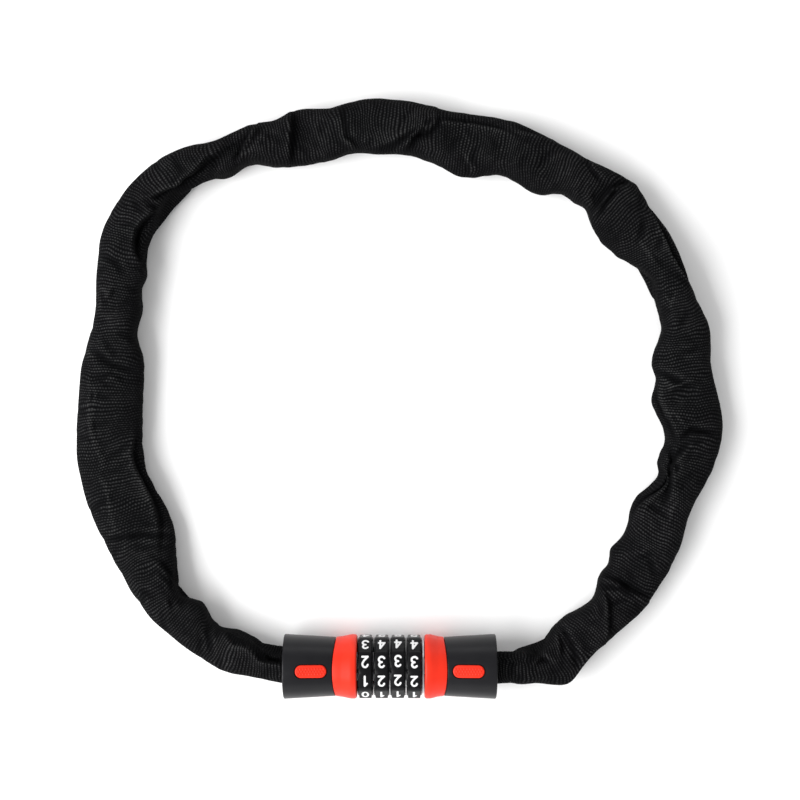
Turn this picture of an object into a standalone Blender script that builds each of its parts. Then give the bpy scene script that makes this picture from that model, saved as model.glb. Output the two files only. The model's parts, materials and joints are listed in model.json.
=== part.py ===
"""Four-dial combination chain lock, closed in a loop and lying flat on a table.

The lock barrel lies along X at the front of the loop (towards -Y). A steel chain in a woven
sleeve runs from its left mouth, round the loop, to its right mouth. Metres, +Z up, the table is
z = 0, and the origin is the middle of the loop's footprint. Along the barrel, "u" is the distance
from the barrel's middle, positive towards the plug on the right.
"""

import math

import bmesh
import bpy
import numpy as np
from mathutils import Matrix, Vector

MM = 0.001
GAP = 0.3 * MM  # between pieces that touch

# Barrel
BARREL_CENTRE = Vector((-4.0, -105.8, 12.75)) * MM
HALF_LENGTH = 42.0 * MM
END_RADIUS = 12.75 * MM
NECK_RADIUS = 11.55 * MM
EDGE_BEVEL = 0.5 * MM
SHELL_INNER = 21.4 * MM  # |u| where a black housing starts
SPIGOT_RADIUS = 9.9 * MM
BORE_RADIUS = 9.0 * MM
MOUTH_RADIUS = 10.2 * MM
MOUTH_DEPTH = 7.0 * MM
SEGMENTS = 32

# Red collars
COLLAR_RADIUS = 12.65 * MM
COLLAR_LOBE = 1.2 * MM  # how much further the collar reaches over the housing, top and bottom
LEFT_COLLAR_FACE = 13.0 * MM  # |u| of each collar's face towards the dials
RIGHT_COLLAR_FACE = 13.7 * MM

# Grip inlays, one on top of each housing
INLAY_LENGTH = 12.4 * MM
INLAY_WIDTH = 5.0 * MM
INLAY_U = 30.8 * MM
INLAY_DEPTH = 1.1 * MM
INLAY_SINK = 0.15 * MM  # of its face, below the housing's highest line
POCKET_RISE = 1.0 * MM  # of the cutter of its pocket, above its own face

# Dials
DIAL_COUNT = 4
DIAL_PITCH = 6.4 * MM
DIAL_WIDTH = 6.1 * MM
DIAL_BORE = 9.3 * MM
BAND_WIDTH = 4.7 * MM
BAND_RADIUS = 12.1 * MM  # to the middle of a digit panel
SHOULDER_RADIUS = 11.4 * MM
PANELS = 10
PANEL_HALF_ANGLE = math.radians(14.0)
INDEX_ANGLE = math.radians(18.0)  # the row that is read, from straight up towards -Y

# Code rings inside the dials, and the core that they turn on
CAM_WIDTH = 3.0 * MM
CAM_OUTER = 9.0 * MM
CAM_BORE = 5.9 * MM
GATE_REACH = 8.0 * MM
GATE_WIDTH = 3.2 * MM
CORE_RADIUS = 5.6 * MM
CORE_BORE = 3.4 * MM
CORE_END = 13.1 * MM
SLOT_WIDTH = 2.8 * MM
SLOT_START = -15.5 * MM
CUP_OUTER = 8.7 * MM
CUP_INNER = 7.5 * MM
CUP_FLOOR = 26.2 * MM
CUP_RIM = 36.1 * MM
FLANGE_FACE = 21.0 * MM
RETAINER_RADIUS = 10.65 * MM
RETAINER_U = (12.85 * MM, 13.4 * MM)
WASHER_U = (-15.1 * MM, -14.3 * MM)
WASHER_OUTER = 8.8 * MM

# Reset spring, round the core
SPRING_RADIUS = 7.3 * MM
SPRING_WIRE = 0.8 * MM
SPRING_TURNS = 4
SPRING_POINTS = 12  # to a turn

# Detent leaf, in a groove under the core
LEAF_WIDTH = 2.4 * MM
LEAF_THICKNESS = 0.35 * MM
LEAF_RADIUS = 4.6 * MM  # to its inner side
LEAF_RISE = 0.6 * MM
LEAF_LENGTH = 25.0 * MM
LEAF_GROOVE = 1.6 * MM

# Locking pin
PIN_RADIUS = 3.0 * MM
PIN_TIP = -14.4 * MM
PIN_ROOT = 23.7 * MM
LUG_REACH = 7.6 * MM
LUG_WIDTH = 2.2 * MM
LUG_LENGTH = 2.4 * MM
INSERT_FACE = 14.3 * MM
INSERT_BORE_END = 24.0 * MM

# Chain
LINK_COUNT = 30
LINK_WIRE = 4.0 * MM
LINK_WIDTH = 13.4 * MM
LINK_PLAY = 0.5 * MM  # between the wires of two links that hang in each other
LINK_ROLL = math.radians(45.0)  # alternate links lean this far each way
LINK_END_POINTS = 7
ANCHOR_U = 31.0 * MM
ANCHOR_RADIUS = 1.8 * MM
ANCHOR_PLAY = 0.5 * MM
ANCHOR_HALF_LENGTH = 8.4 * MM
SWING_LINK = 17  # the chain's right half swings about the joint after this link

# Sleeve
SLEEVE_WALL = 0.9 * MM
SLEEVE_HEIGHT = 15.2 * MM  # where it is clear of the table
SLEEVE_SQUARENESS = 3.0
SLEEVE_SIDES = 12
SLEEVE_STEP = 15.0 * MM
SLEEVE_END_U = 37.4 * MM
SLEEVE_SPLIT = 2.4 * MM  # the gap between its two solids at the swing joint

# The chain's route, clockwise seen from above, from the left anchor pin to the right one:
# x, y, height of the chain's middle, width of the sleeve round it.
ROUTE = [
    (-35.0, -105.8, 12.75, 14.4),
    (-46.0, -105.5, 12.6, 14.6),
    (-56.0, -103.9, 11.7, 16.0),
    (-66.7, -99.9, 9.9, 18.0),
    (-80.6, -92.9, 7.7, 16.4),
    (-91.4, -83.2, 6.8, 16.4),
    (-99.7, -67.6, 6.7, 22.0),
    (-107.0, -48.2, 6.7, 25.0),
    (-113.5, -28.0, 6.7, 25.0),
    (-115.7, -6.0, 6.7, 25.0),
    (-114.5, 16.0, 6.7, 22.5),
    (-112.5, 40.0, 6.7, 20.0),
    (-108.0, 62.0, 6.7, 20.0),
    (-96.5, 83.0, 6.7, 18.0),
    (-77.5, 95.5, 6.7, 17.5),
    (-52.0, 102.8, 6.7, 19.0),
    (-26.0, 107.0, 6.7, 21.0),
    (0.0, 107.6, 6.7, 20.7),
    (24.0, 104.3, 6.7, 22.5),
    (47.0, 98.8, 6.7, 22.0),
    (70.0, 89.0, 6.7, 20.0),
    (88.0, 75.5, 6.7, 22.5),
    (101.5, 57.0, 6.7, 20.0),
    (110.0, 37.0, 6.7, 18.0),
    (114.0, 14.0, 6.7, 23.0),
    (115.7, -9.0, 6.7, 24.6),
    (112.5, -31.0, 6.7, 21.5),
    (103.5, -52.0, 6.7, 23.0),
    (92.5, -71.5, 6.7, 22.0),
    (78.3, -89.3, 7.1, 18.4),
    (66.2, -100.3, 9.0, 18.0),
    (52.8, -105.4, 11.4, 15.2),
    (38.0, -105.95, 12.65, 14.4),
    (27.0, -105.8, 12.75, 14.4),
]

COLLECTION_NAME = "chain_lock"
CUTTERS_NAME = "cutters"
ALONG_BARREL = Matrix.Rotation(math.pi / 2, 4, "Y")  # local Z becomes the barrel's axis
AT_BARREL = Matrix.Translation(BARREL_CENTRE) @ ALONG_BARREL


# --- scene -----------------------------------------------------------------------------------


def clear_scene():
    for obj in list(bpy.data.objects):
        bpy.data.objects.remove(obj)


def make_collection(name):
    collection = bpy.data.collections.new(name)
    bpy.context.scene.collection.children.link(collection)
    return collection


def make_material(name, colour, roughness, metallic=0.0):
    material = bpy.data.materials.new(name)
    material.use_nodes = True
    shader = material.node_tree.nodes["Principled BSDF"]
    shader.inputs["Base Color"].default_value = (*colour, 1.0)
    shader.inputs["Roughness"].default_value = roughness
    shader.inputs["Metallic"].default_value = metallic
    return material


def place(name, data, material, group, matrix=AT_BARREL):
    """A new object of the lock, on the empty of the body that it moves with."""
    obj = bpy.data.objects.new(name, data)
    bpy.data.collections[COLLECTION_NAME].objects.link(obj)
    obj.parent = group
    obj.matrix_parent_inverse = group.matrix_world.inverted()
    obj.matrix_world = matrix
    if not data.materials:
        data.materials.append(material)
    return obj


def make_group(name, location):
    """The empty on a body's joint axis."""
    group = bpy.data.objects.new(name, None)
    bpy.data.collections[COLLECTION_NAME].objects.link(group)
    group.matrix_world = Matrix.Translation(location)
    return group


def hide_cutter(cutter):
    for collection in list(cutter.users_collection):
        collection.objects.unlink(cutter)
    bpy.data.collections[CUTTERS_NAME].objects.link(cutter)
    cutter.display_type = "WIRE"
    cutter.hide_render = True


def boolean(obj, other, operation):
    modifier = obj.modifiers.new(f"{operation.lower()}_{other.name}", "BOOLEAN")
    modifier.operation = operation
    modifier.object = other
    modifier.solver = "EXACT"


def barrel_point(u, radius=0.0, angle=0.0):
    """A point of the barrel: along it, out from its axis, and round from +Z towards -Y."""
    around = Vector((0.0, -math.sin(angle), math.cos(angle)))
    return BARREL_CENTRE + Vector((u, 0.0, 0.0)) + radius * around


# --- shapes ----------------------------------------------------------------------------------


def signed_area(outline):
    total = 0.0
    for (r0, u0), (r1, u1) in zip(outline, outline[1:] + outline[:1]):
        total += r0 * u1 - r1 * u0
    return total / 2


def turned_mesh(name, outline):
    """The edges of an outline of (radius, u) points, in the order that turns outside out."""
    if signed_area(outline) > 0:
        outline = outline[::-1]
    mesh = bpy.data.meshes.new(name)
    count = len(outline)
    on_axis = sum(radius == 0.0 for radius, _ in outline)
    if on_axis:
        first = next(
            i for i in range(count) if outline[i][0] == 0.0 and outline[i - 1][0] == 0.0
        )
        outline = outline[first:] + outline[:first]
    edges = [(i, (i + 1) % count) for i in range(count - (1 if on_axis else 0))]
    mesh.from_pydata([(radius, 0.0, u) for radius, u in outline], edges, [])
    return mesh


def add_screw(obj, segments):
    screw = obj.modifiers.new("turn", "SCREW")
    screw.angle = 2 * math.pi
    screw.steps = segments
    screw.render_steps = segments
    screw.use_merge_vertices = True
    screw.merge_threshold = 0.00002
    screw.use_smooth_shade = True


def turned(name, outline, material, group, segments=SEGMENTS):
    """A piece turned about the barrel's axis from a closed outline of (radius, u) points."""
    obj = place(name, turned_mesh(name, outline), material, group)
    add_screw(obj, segments)
    return obj


def push_shoulder(obj, sign):
    """Moves a shell's shoulder out along the barrel at the top and bottom, in a smooth wave."""
    graph = bpy.context.evaluated_depsgraph_get()
    mesh = bpy.data.meshes.new_from_object(obj.evaluated_get(graph))
    obj.modifiers.clear()
    obj.data = mesh
    for vertex in mesh.vertices:
        x, y, u = vertex.co
        if abs(abs(u) - SHELL_INNER) < 2 * EDGE_BEVEL:
            vertex.co.z += sign * COLLAR_LOBE * x * x / (x * x + y * y)


def ring_outline(inner, outer, u0, u1):
    return [(inner, u0), (outer, u0), (outer, u1), (inner, u1)]


def box_cutter(name, size, centre, angle=0.0):
    """A box on the barrel, turned with the row at angle: size and centre are (u, across, out)."""
    mesh = bpy.data.meshes.new(name)
    shape = bmesh.new()
    bmesh.ops.create_cube(shape, size=1.0, matrix=Matrix.Diagonal((*size, 1.0)))
    shape.to_mesh(mesh)
    shape.free()
    obj = bpy.data.objects.new(name, mesh)
    bpy.data.collections[CUTTERS_NAME].objects.link(obj)
    turn = Matrix.Rotation(angle, 4, "X")
    obj.matrix_world = Matrix.Translation(BARREL_CENTRE) @ turn @ Matrix.Translation(centre)
    hide_cutter(obj)
    return obj


def rod_mesh(name, radius, length, sides):
    mesh = bpy.data.meshes.new(name)
    shape = bmesh.new()
    bmesh.ops.create_cone(
        shape,
        cap_ends=True,
        segments=sides,
        radius1=radius,
        radius2=radius,
        depth=length,
    )
    shape.to_mesh(mesh)
    shape.free()
    mesh.shade_smooth()
    mesh.set_sharp_from_angle(angle=math.radians(40))
    return mesh


def poly_curve(name, points, radius, cyclic=False, sides_level=2):
    """A wire or rod along points, as a curve with a round section."""
    curve = bpy.data.curves.new(name, "CURVE")
    curve.dimensions = "3D"
    spline = curve.splines.new("POLY")
    spline.points.add(len(points) - 1)
    for point, at in zip(spline.points, points):
        point.co = (*at, 1.0)
    spline.use_cyclic_u = cyclic
    curve.bevel_depth = radius
    curve.bevel_resolution = sides_level
    curve.use_fill_caps = not cyclic
    return curve


def flat_curve(name, points, half_thickness):
    """A flat outline in XY, extruded both ways along Z."""
    curve = bpy.data.curves.new(name, "CURVE")
    curve.dimensions = "2D"
    spline = curve.splines.new("POLY")
    spline.points.add(len(points) - 1)
    for point, (x, y) in zip(spline.points, points):
        point.co = (x, y, 0.0, 1.0)
    spline.use_cyclic_u = True
    curve.fill_mode = "BOTH"
    curve.extrude = half_thickness
    return curve


def curve_to_mesh(name, curve):
    """A closed mesh from a curve, with its loose caps welded on."""
    holder = bpy.data.objects.new(name, curve)
    bpy.context.scene.collection.objects.link(holder)
    graph = bpy.context.evaluated_depsgraph_get()
    mesh = bpy.data.meshes.new_from_object(holder.evaluated_get(graph))
    bpy.data.objects.remove(holder)
    shape = bmesh.new()
    shape.from_mesh(mesh)
    bmesh.ops.remove_doubles(shape, verts=shape.verts, dist=0.000001)
    bmesh.ops.recalc_face_normals(shape, faces=shape.faces)
    shape.to_mesh(mesh)
    shape.free()
    mesh.name = name
    return mesh


# --- barrel shells ---------------------------------------------------------------------------


def housing(side, material, group):
    """A black end housing: a cone that widens to the end, a spigot for the collar, a bore."""
    sign = -1.0 if side == "left" else 1.0
    half = HALF_LENGTH
    front = (LEFT_COLLAR_FACE if side == "left" else RIGHT_COLLAR_FACE) + GAP
    outline = [
        (BORE_RADIUS, front),
        (SPIGOT_RADIUS, front),
        (SPIGOT_RADIUS, SHELL_INNER),
        (NECK_RADIUS - EDGE_BEVEL, SHELL_INNER),
        (NECK_RADIUS, SHELL_INNER + EDGE_BEVEL),
        (END_RADIUS, half - EDGE_BEVEL),
        (END_RADIUS - EDGE_BEVEL, half),
        (MOUTH_RADIUS + EDGE_BEVEL, half),
        (MOUTH_RADIUS, half - EDGE_BEVEL),
        (MOUTH_RADIUS, half - MOUTH_DEPTH),
        (BORE_RADIUS, half - MOUTH_DEPTH),
    ]
    outline = [(radius, sign * u) for radius, u in outline]
    obj = turned(f"housing_{side}", outline, material, group)
    push_shoulder(obj, sign)
    pocket = bpy.data.objects.new(f"pocket_{side}", inlay_mesh(GAP))
    pocket.matrix_world = inlay_matrix(sign, GAP)
    hide_cutter(pocket)
    boolean(obj, pocket, "DIFFERENCE")
    return obj


def stadium(length, width, arc_steps=6):
    """The outline of a bar with round ends, in XY."""
    radius = width / 2
    points = []
    for centre, start in ((length / 2 - radius, -math.pi / 2), (radius - length / 2, math.pi / 2)):
        for step in range(arc_steps + 1):
            angle = start + math.pi * step / arc_steps
            points.append((centre + radius * math.cos(angle), radius * math.sin(angle)))
    return points


def surface_radius(u):
    """The housings' outer radius at |u|."""
    share = (abs(u) - SHELL_INNER) / (HALF_LENGTH - SHELL_INNER)
    return NECK_RADIUS + share * (END_RADIUS - NECK_RADIUS)


def inlay_thickness(margin):
    """The inlay's own, or its pocket's, which stays open at the top."""
    return INLAY_DEPTH + (POCKET_RISE if margin else 0.0)


def inlay_mesh(margin=0.0):
    """The pill-shaped inlay, lying in XY. A margin round it makes its pocket."""
    outline = stadium(INLAY_LENGTH + 2 * margin, INLAY_WIDTH + 2 * margin)
    return curve_to_mesh("inlay", flat_curve("inlay", outline, inlay_thickness(margin) / 2))


def inlay_matrix(sign, margin=0.0):
    """On top of a housing, along its slope, with the same margin under it as round it."""
    slope = math.atan2(END_RADIUS - NECK_RADIUS, HALF_LENGTH - SHELL_INNER)
    under = surface_radius(INLAY_U) - INLAY_SINK - INLAY_DEPTH - margin
    middle = under + inlay_thickness(margin) / 2
    at = Matrix.Translation(barrel_point(sign * INLAY_U, middle))
    return at @ Matrix.Rotation(-sign * slope, 4, "Y")


def collar(side, material, group):
    """A red collar that flares from the housing to the dials, longer at the top and bottom."""
    sign = -1.0 if side == "left" else 1.0
    face = LEFT_COLLAR_FACE if side == "left" else RIGHT_COLLAR_FACE
    back = SHELL_INNER - GAP
    inner = SPIGOT_RADIUS + GAP
    outline = [
        (inner, face),
        (COLLAR_RADIUS - 1.0 * MM, face),
        (COLLAR_RADIUS - 0.3 * MM, face + 0.3 * MM),
        (COLLAR_RADIUS, face + 1.0 * MM),
        (COLLAR_RADIUS - 0.15 * MM, face + 3.0 * MM),
        (NECK_RADIUS + 0.25 * MM, back - 1.6 * MM),
        (NECK_RADIUS, back),
        (inner, back),
    ]
    outline = [(radius, sign * u) for radius, u in outline]
    obj = turned(f"collar_{side}", outline, material, group)
    push_shoulder(obj, sign)
    return obj


# --- dials and code rings --------------------------------------------------------------------


def dial_centre(number):
    return (number - (DIAL_COUNT + 1) / 2) * DIAL_PITCH


def dial_ring(number, material, group):
    """A number ring: ten flat digit panels on a band, with a lower round shoulder each side."""
    corners = []
    corner_radius = BAND_RADIUS / math.cos(PANEL_HALF_ANGLE)
    for panel in range(PANELS):
        middle = INDEX_ANGLE + 2 * math.pi * panel / PANELS
        for angle in (middle - PANEL_HALF_ANGLE, middle + PANEL_HALF_ANGLE):
            # local X is straight down, so a row at angle from straight up is at this place
            corners.append((-corner_radius * math.cos(angle), -corner_radius * math.sin(angle)))
    name = f"dial_{number}"
    mesh = curve_to_mesh(name, flat_curve(name, corners, BAND_WIDTH / 2))
    at = Matrix.Translation(barrel_point(dial_centre(number))) @ ALONG_BARREL
    obj = place(name, mesh, material, group, at)
    shoulders = bpy.data.objects.new(
        f"shoulders_{number}", rod_mesh("shoulders", SHOULDER_RADIUS, DIAL_WIDTH, 30)
    )
    bore = bpy.data.objects.new(
        f"dial_bore_{number}", rod_mesh("dial_bore", DIAL_BORE, 2 * DIAL_WIDTH, 24)
    )
    for cutter, operation in ((shoulders, "UNION"), (bore, "DIFFERENCE")):
        cutter.matrix_world = at
        hide_cutter(cutter)
        boolean(obj, cutter, operation)
    return obj


def gate_cutter(name, u):
    """A box that cuts a code ring's gate, in the row that is read."""
    size = (2 * CAM_WIDTH, GATE_WIDTH, GATE_REACH)
    return box_cutter(name, size, (u, 0.0, GATE_REACH / 2), INDEX_ANGLE)


def code_ring(number, material, group):
    """The ring inside a dial whose gate lets a lug of the locking pin through."""
    middle = dial_centre(number)
    outline = ring_outline(
        CAM_BORE, CAM_OUTER, middle - CAM_WIDTH / 2, middle + CAM_WIDTH / 2
    )
    obj = turned(f"code_ring_{number}", outline, material, group, 24)
    boolean(obj, gate_cutter(f"gate_{number}", middle), "DIFFERENCE")
    return obj


# --- core, reset spring, detent leaf ---------------------------------------------------------


def core_barrel(material, group):
    """The core that the dials turn on: a cup for the chain's end, a flange, a slotted tube."""
    outline = [
        (0.0, -CUP_FLOOR),
        (CUP_INNER, -CUP_FLOOR),
        (CUP_INNER, -CUP_RIM),
        (CUP_OUTER, -CUP_RIM),
        (CUP_OUTER, -FLANGE_FACE),
        (CORE_RADIUS, -FLANGE_FACE),
        (CORE_RADIUS, CORE_END),
        (CORE_BORE, CORE_END),
        (CORE_BORE, SLOT_START),
        (0.0, SLOT_START),
    ]
    obj = turned("core_barrel", outline, material, group, 24)
    slot_length = CORE_END - SLOT_START + 2 * MM
    slot = box_cutter(
        "core_slot",
        (slot_length, SLOT_WIDTH, 2 * CORE_RADIUS),
        (SLOT_START + slot_length / 2, 0.0, CORE_RADIUS),
        INDEX_ANGLE,
    )
    groove = box_cutter(
        "leaf_groove",
        (LEAF_LENGTH + 2 * GAP, LEAF_WIDTH + 2 * GAP, LEAF_GROOVE),
        (0.0, 0.0, CORE_RADIUS - LEAF_GROOVE / 2 + 0.25 * MM),
        INDEX_ANGLE + math.pi,
    )
    for cutter in (slot, groove, anchor_hole("left")):
        boolean(obj, cutter, "DIFFERENCE")
    return obj


def detent_leaf(material, group):
    """A steel strip with one bump under each code ring, which makes the dials click."""
    length = LEAF_LENGTH / 2
    points = [(-length, 0.0)]
    for number in range(1, DIAL_COUNT + 1):
        middle = dial_centre(number)
        for offset, rise in ((-1.6, 0.0), (-0.6, 1.0), (0.6, 1.0), (1.6, 0.0)):
            points.append((middle + offset * MM, rise * LEAF_RISE))
    points.append((length, 0.0))
    under = [(u, height + LEAF_THICKNESS) for u, height in points]
    mesh = curve_to_mesh("detent_leaf", flat_curve("leaf", points + under[::-1], LEAF_WIDTH / 2))
    # the strip's outline stands in the barrel's lengthwise plane, bumps outwards
    stand = Matrix.Rotation(INDEX_ANGLE + math.pi, 4, "X") @ Matrix.Rotation(math.pi / 2, 4, "X")
    at = Matrix.Translation(BARREL_CENTRE) @ stand @ Matrix.Translation((0.0, LEAF_RADIUS, 0.0))
    return place("detent_leaf", mesh, material, group, at)


def reset_spring(material, group):
    """The coil that presses the code rings into their dials."""
    start = -FLANGE_FACE + GAP + SPRING_WIRE / 2
    end = WASHER_U[0] - GAP - SPRING_WIRE / 2
    points = []
    count = SPRING_TURNS * SPRING_POINTS
    for step in range(count + 1):
        angle = 2 * math.pi * step / SPRING_POINTS
        u = start + (end - start) * step / count
        points.append((SPRING_RADIUS * math.cos(angle), SPRING_RADIUS * math.sin(angle), u))
    curve = poly_curve("reset_spring", points, SPRING_WIRE / 2, sides_level=1)
    return place("reset_spring", curve, material, group)


def core_retainer(material, group):
    """The ring on the core's end that keeps the dials on, with a gate for the lugs."""
    outline = ring_outline(CAM_BORE, RETAINER_RADIUS, *RETAINER_U)
    obj = turned("core_retainer", outline, material, group, 24)
    boolean(obj, gate_cutter("gate_retainer", RETAINER_U[0]), "DIFFERENCE")
    return obj


# --- plug ------------------------------------------------------------------------------------


def locking_pin(material, group):
    """The pin with a lug for each code ring."""
    tip_bevel = 0.8 * MM
    outline = [
        (0.0, PIN_ROOT),
        (PIN_RADIUS, PIN_ROOT),
        (PIN_RADIUS, PIN_TIP + tip_bevel),
        (PIN_RADIUS - tip_bevel, PIN_TIP),
        (0.0, PIN_TIP),
    ]
    obj = turned("locking_pin", outline, material, group, 20)
    for number in range(1, DIAL_COUNT + 1):
        lug = box_cutter(
            f"lug_{number}",
            (LUG_LENGTH, LUG_WIDTH, LUG_REACH),
            (dial_centre(number) - DIAL_PITCH / 2, 0.0, LUG_REACH / 2),
            INDEX_ANGLE,
        )
        boolean(obj, lug, "UNION")
    return obj


def plug_insert(material, group):
    """The metal insert in the plug that holds the locking pin and the chain's other end."""
    outline = [
        (0.0, INSERT_BORE_END),
        (PIN_RADIUS + GAP, INSERT_BORE_END),
        (PIN_RADIUS + GAP, INSERT_FACE),
        (CUP_OUTER, INSERT_FACE),
        (CUP_OUTER, CUP_RIM),
        (CUP_INNER, CUP_RIM),
        (CUP_INNER, CUP_FLOOR),
        (0.0, CUP_FLOOR),
    ]
    obj = turned("plug_insert", outline, material, group, 24)
    boolean(obj, anchor_hole("right"), "DIFFERENCE")
    return obj


# --- chain -----------------------------------------------------------------------------------


def smooth_route():
    """Points every half millimetre or so along a smooth curve through the route's points."""
    points = np.array(ROUTE) * MM
    ends = [2 * points[0] - points[1], 2 * points[-1] - points[-2]]
    padded = np.vstack([ends[0], points, ends[1]])
    fine = []
    for i in range(1, len(padded) - 2):
        p0, p1, p2, p3 = padded[i - 1 : i + 3]
        d1 = np.linalg.norm(p1[:3] - p0[:3])
        d2 = np.linalg.norm(p2[:3] - p1[:3])
        d3 = np.linalg.norm(p3[:3] - p2[:3])
        m1 = d2 * ((p1 - p0) / d1 - (p2 - p0) / (d1 + d2) + (p2 - p1) / d2)
        m2 = d2 * ((p2 - p1) / d2 - (p3 - p1) / (d2 + d3) + (p3 - p2) / d3)
        for t in np.linspace(0.0, 1.0, 40, endpoint=False):
            fine.append(
                (2 * t**3 - 3 * t**2 + 1) * p1
                + (t**3 - 2 * t**2 + t) * m1
                + (3 * t**2 - 2 * t**3) * p2
                + (t**3 - t**2) * m2
            )
    fine.append(points[-1])
    return np.array(fine)


def route_reader():
    """A function from a distance along the route to (x, y, z, width), and the route's length."""
    fine = smooth_route()
    steps = np.linalg.norm(np.diff(fine[:, :3], axis=0), axis=1)
    along = np.concatenate([[0.0], np.cumsum(steps)])

    def at(distance):
        return np.array([np.interp(distance, along, fine[:, k]) for k in range(4)])

    return at, along[-1]


def chain_joints():
    """The points where the links hang in each other, from the left anchor to the right one."""
    at, length = route_reader()
    return [Vector(at(length * i / LINK_COUNT)[:3]) for i in range(LINK_COUNT + 1)]


def link_axes(start, end, roll):
    """The link's own axes as a matrix: along it, across it in its plane, and out of its plane."""
    along = (end - start).normalized()
    side = Vector((0.0, 0.0, 1.0)).cross(along).normalized()
    up = along.cross(side)
    across = math.cos(roll) * side + math.sin(roll) * up
    return Matrix((along, across, along.cross(across))).transposed()


def link_roll(index):
    return LINK_ROLL if index % 2 == 0 else -LINK_ROLL


def link_curve(joint_distance):
    """One link in its own XY plane: two straights and two half circles of round wire."""
    radius = (LINK_WIDTH - LINK_WIRE) / 2
    half = (joint_distance + LINK_PLAY + LINK_WIRE) / 2 - radius
    points = []
    for centre, start in ((half, -math.pi / 2), (-half, math.pi / 2)):
        for step in range(LINK_END_POINTS):
            angle = start + math.pi * step / (LINK_END_POINTS - 1)
            points.append((centre + radius * math.cos(angle), radius * math.sin(angle), 0.0))
    return poly_curve("chain_link", points, LINK_WIRE / 2, cyclic=True, sides_level=1)


def chain(material, left_group, right_group):
    joints = chain_joints()
    longest = max((b - a).length for a, b in zip(joints, joints[1:]))
    curve = link_curve(longest)
    for i in range(LINK_COUNT):
        axes = link_axes(joints[i], joints[i + 1], link_roll(i))
        middle = (joints[i] + joints[i + 1]) / 2
        group = left_group if i < SWING_LINK else right_group
        matrix = Matrix.Translation(middle) @ axes.to_4x4()
        place(f"chain_link_{i + 1:02d}", curve, material, group, matrix)


def anchor_matrix(side):
    """Where a cross pin holds the chain's end link: its axis is square to that link's plane."""
    joints = chain_joints()
    if side == "left":
        start, end, index = joints[0], joints[1], 0
        inwards = (end - start).normalized()
        middle = start
    else:
        start, end, index = joints[-2], joints[-1], LINK_COUNT - 1
        inwards = (start - end).normalized()
        middle = end
    axes = link_axes(start, end, link_roll(index))
    offset = ANCHOR_RADIUS + ANCHOR_PLAY - LINK_PLAY / 2
    return Matrix.Translation(middle + offset * inwards) @ axes.to_4x4()


def anchor_hole(side):
    mesh = rod_mesh(f"anchor_hole_{side}", ANCHOR_RADIUS + GAP, 4 * ANCHOR_HALF_LENGTH, 16)
    obj = bpy.data.objects.new(f"anchor_hole_{side}", mesh)
    obj.matrix_world = anchor_matrix(side)
    hide_cutter(obj)
    return obj


def anchor_pin(side, material, group):
    name = f"chain_pin_{side}"
    mesh = rod_mesh(name, ANCHOR_RADIUS, 2 * ANCHOR_HALF_LENGTH, 16)
    return place(name, mesh, material, group, anchor_matrix(side))


# --- sleeve ----------------------------------------------------------------------------------


def sleeve_section(width, height):
    """The sleeve's outer section as (across, up) points: a box with well rounded corners."""
    power = 2 / SLEEVE_SQUARENESS
    first = math.pi / SLEEVE_SIDES
    angles = [first + 2 * math.pi * i / SLEEVE_SIDES for i in range(SLEEVE_SIDES)]
    points = []
    for angle in angles:
        c, s = math.cos(angle), math.sin(angle)
        points.append((math.copysign(abs(c) ** power, c), math.copysign(abs(s) ** power, s)))
    widest = max(x for x, _ in points)
    tallest = max(z for _, z in points)
    return [(x / widest * width / 2, z / tallest * height / 2) for x, z in points]


def sleeve(name, start, end, material, group):
    """A hollow length of the sleeve round the chain, open at both ends."""
    at, _ = route_reader()
    stations = np.linspace(start, end, max(4, round((end - start) / SLEEVE_STEP) + 1))
    shape = bmesh.new()
    rings = []
    for distance in stations:
        x, y, z, width = map(float, at(distance))
        before, after = at(distance - MM), at(distance + MM)
        along = Vector((after - before)[:3]).normalized()
        side = Vector((0.0, 0.0, 1.0)).cross(along).normalized()
        up = along.cross(side)
        ring = []
        for across, rise in sleeve_section(width, min(2 * z, SLEEVE_HEIGHT)):
            ring.append(shape.verts.new(Vector((x, y, z)) + across * side + rise * up))
        rings.append(ring)
    for ring, following in zip(rings, rings[1:]):
        for i in range(SLEEVE_SIDES):
            j = (i + 1) % SLEEVE_SIDES
            shape.faces.new((ring[i], ring[j], following[j], following[i]))
    bmesh.ops.recalc_face_normals(shape, faces=shape.faces)
    mesh = bpy.data.meshes.new(name)
    shape.to_mesh(mesh)
    shape.free()
    mesh.shade_smooth()
    obj = place(name, mesh, material, group, Matrix.Identity(4))
    solidify = obj.modifiers.new("wall", "SOLIDIFY")
    solidify.thickness = SLEEVE_WALL
    solidify.offset = -1.0
    return obj


# --- the lock --------------------------------------------------------------------------------


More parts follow.
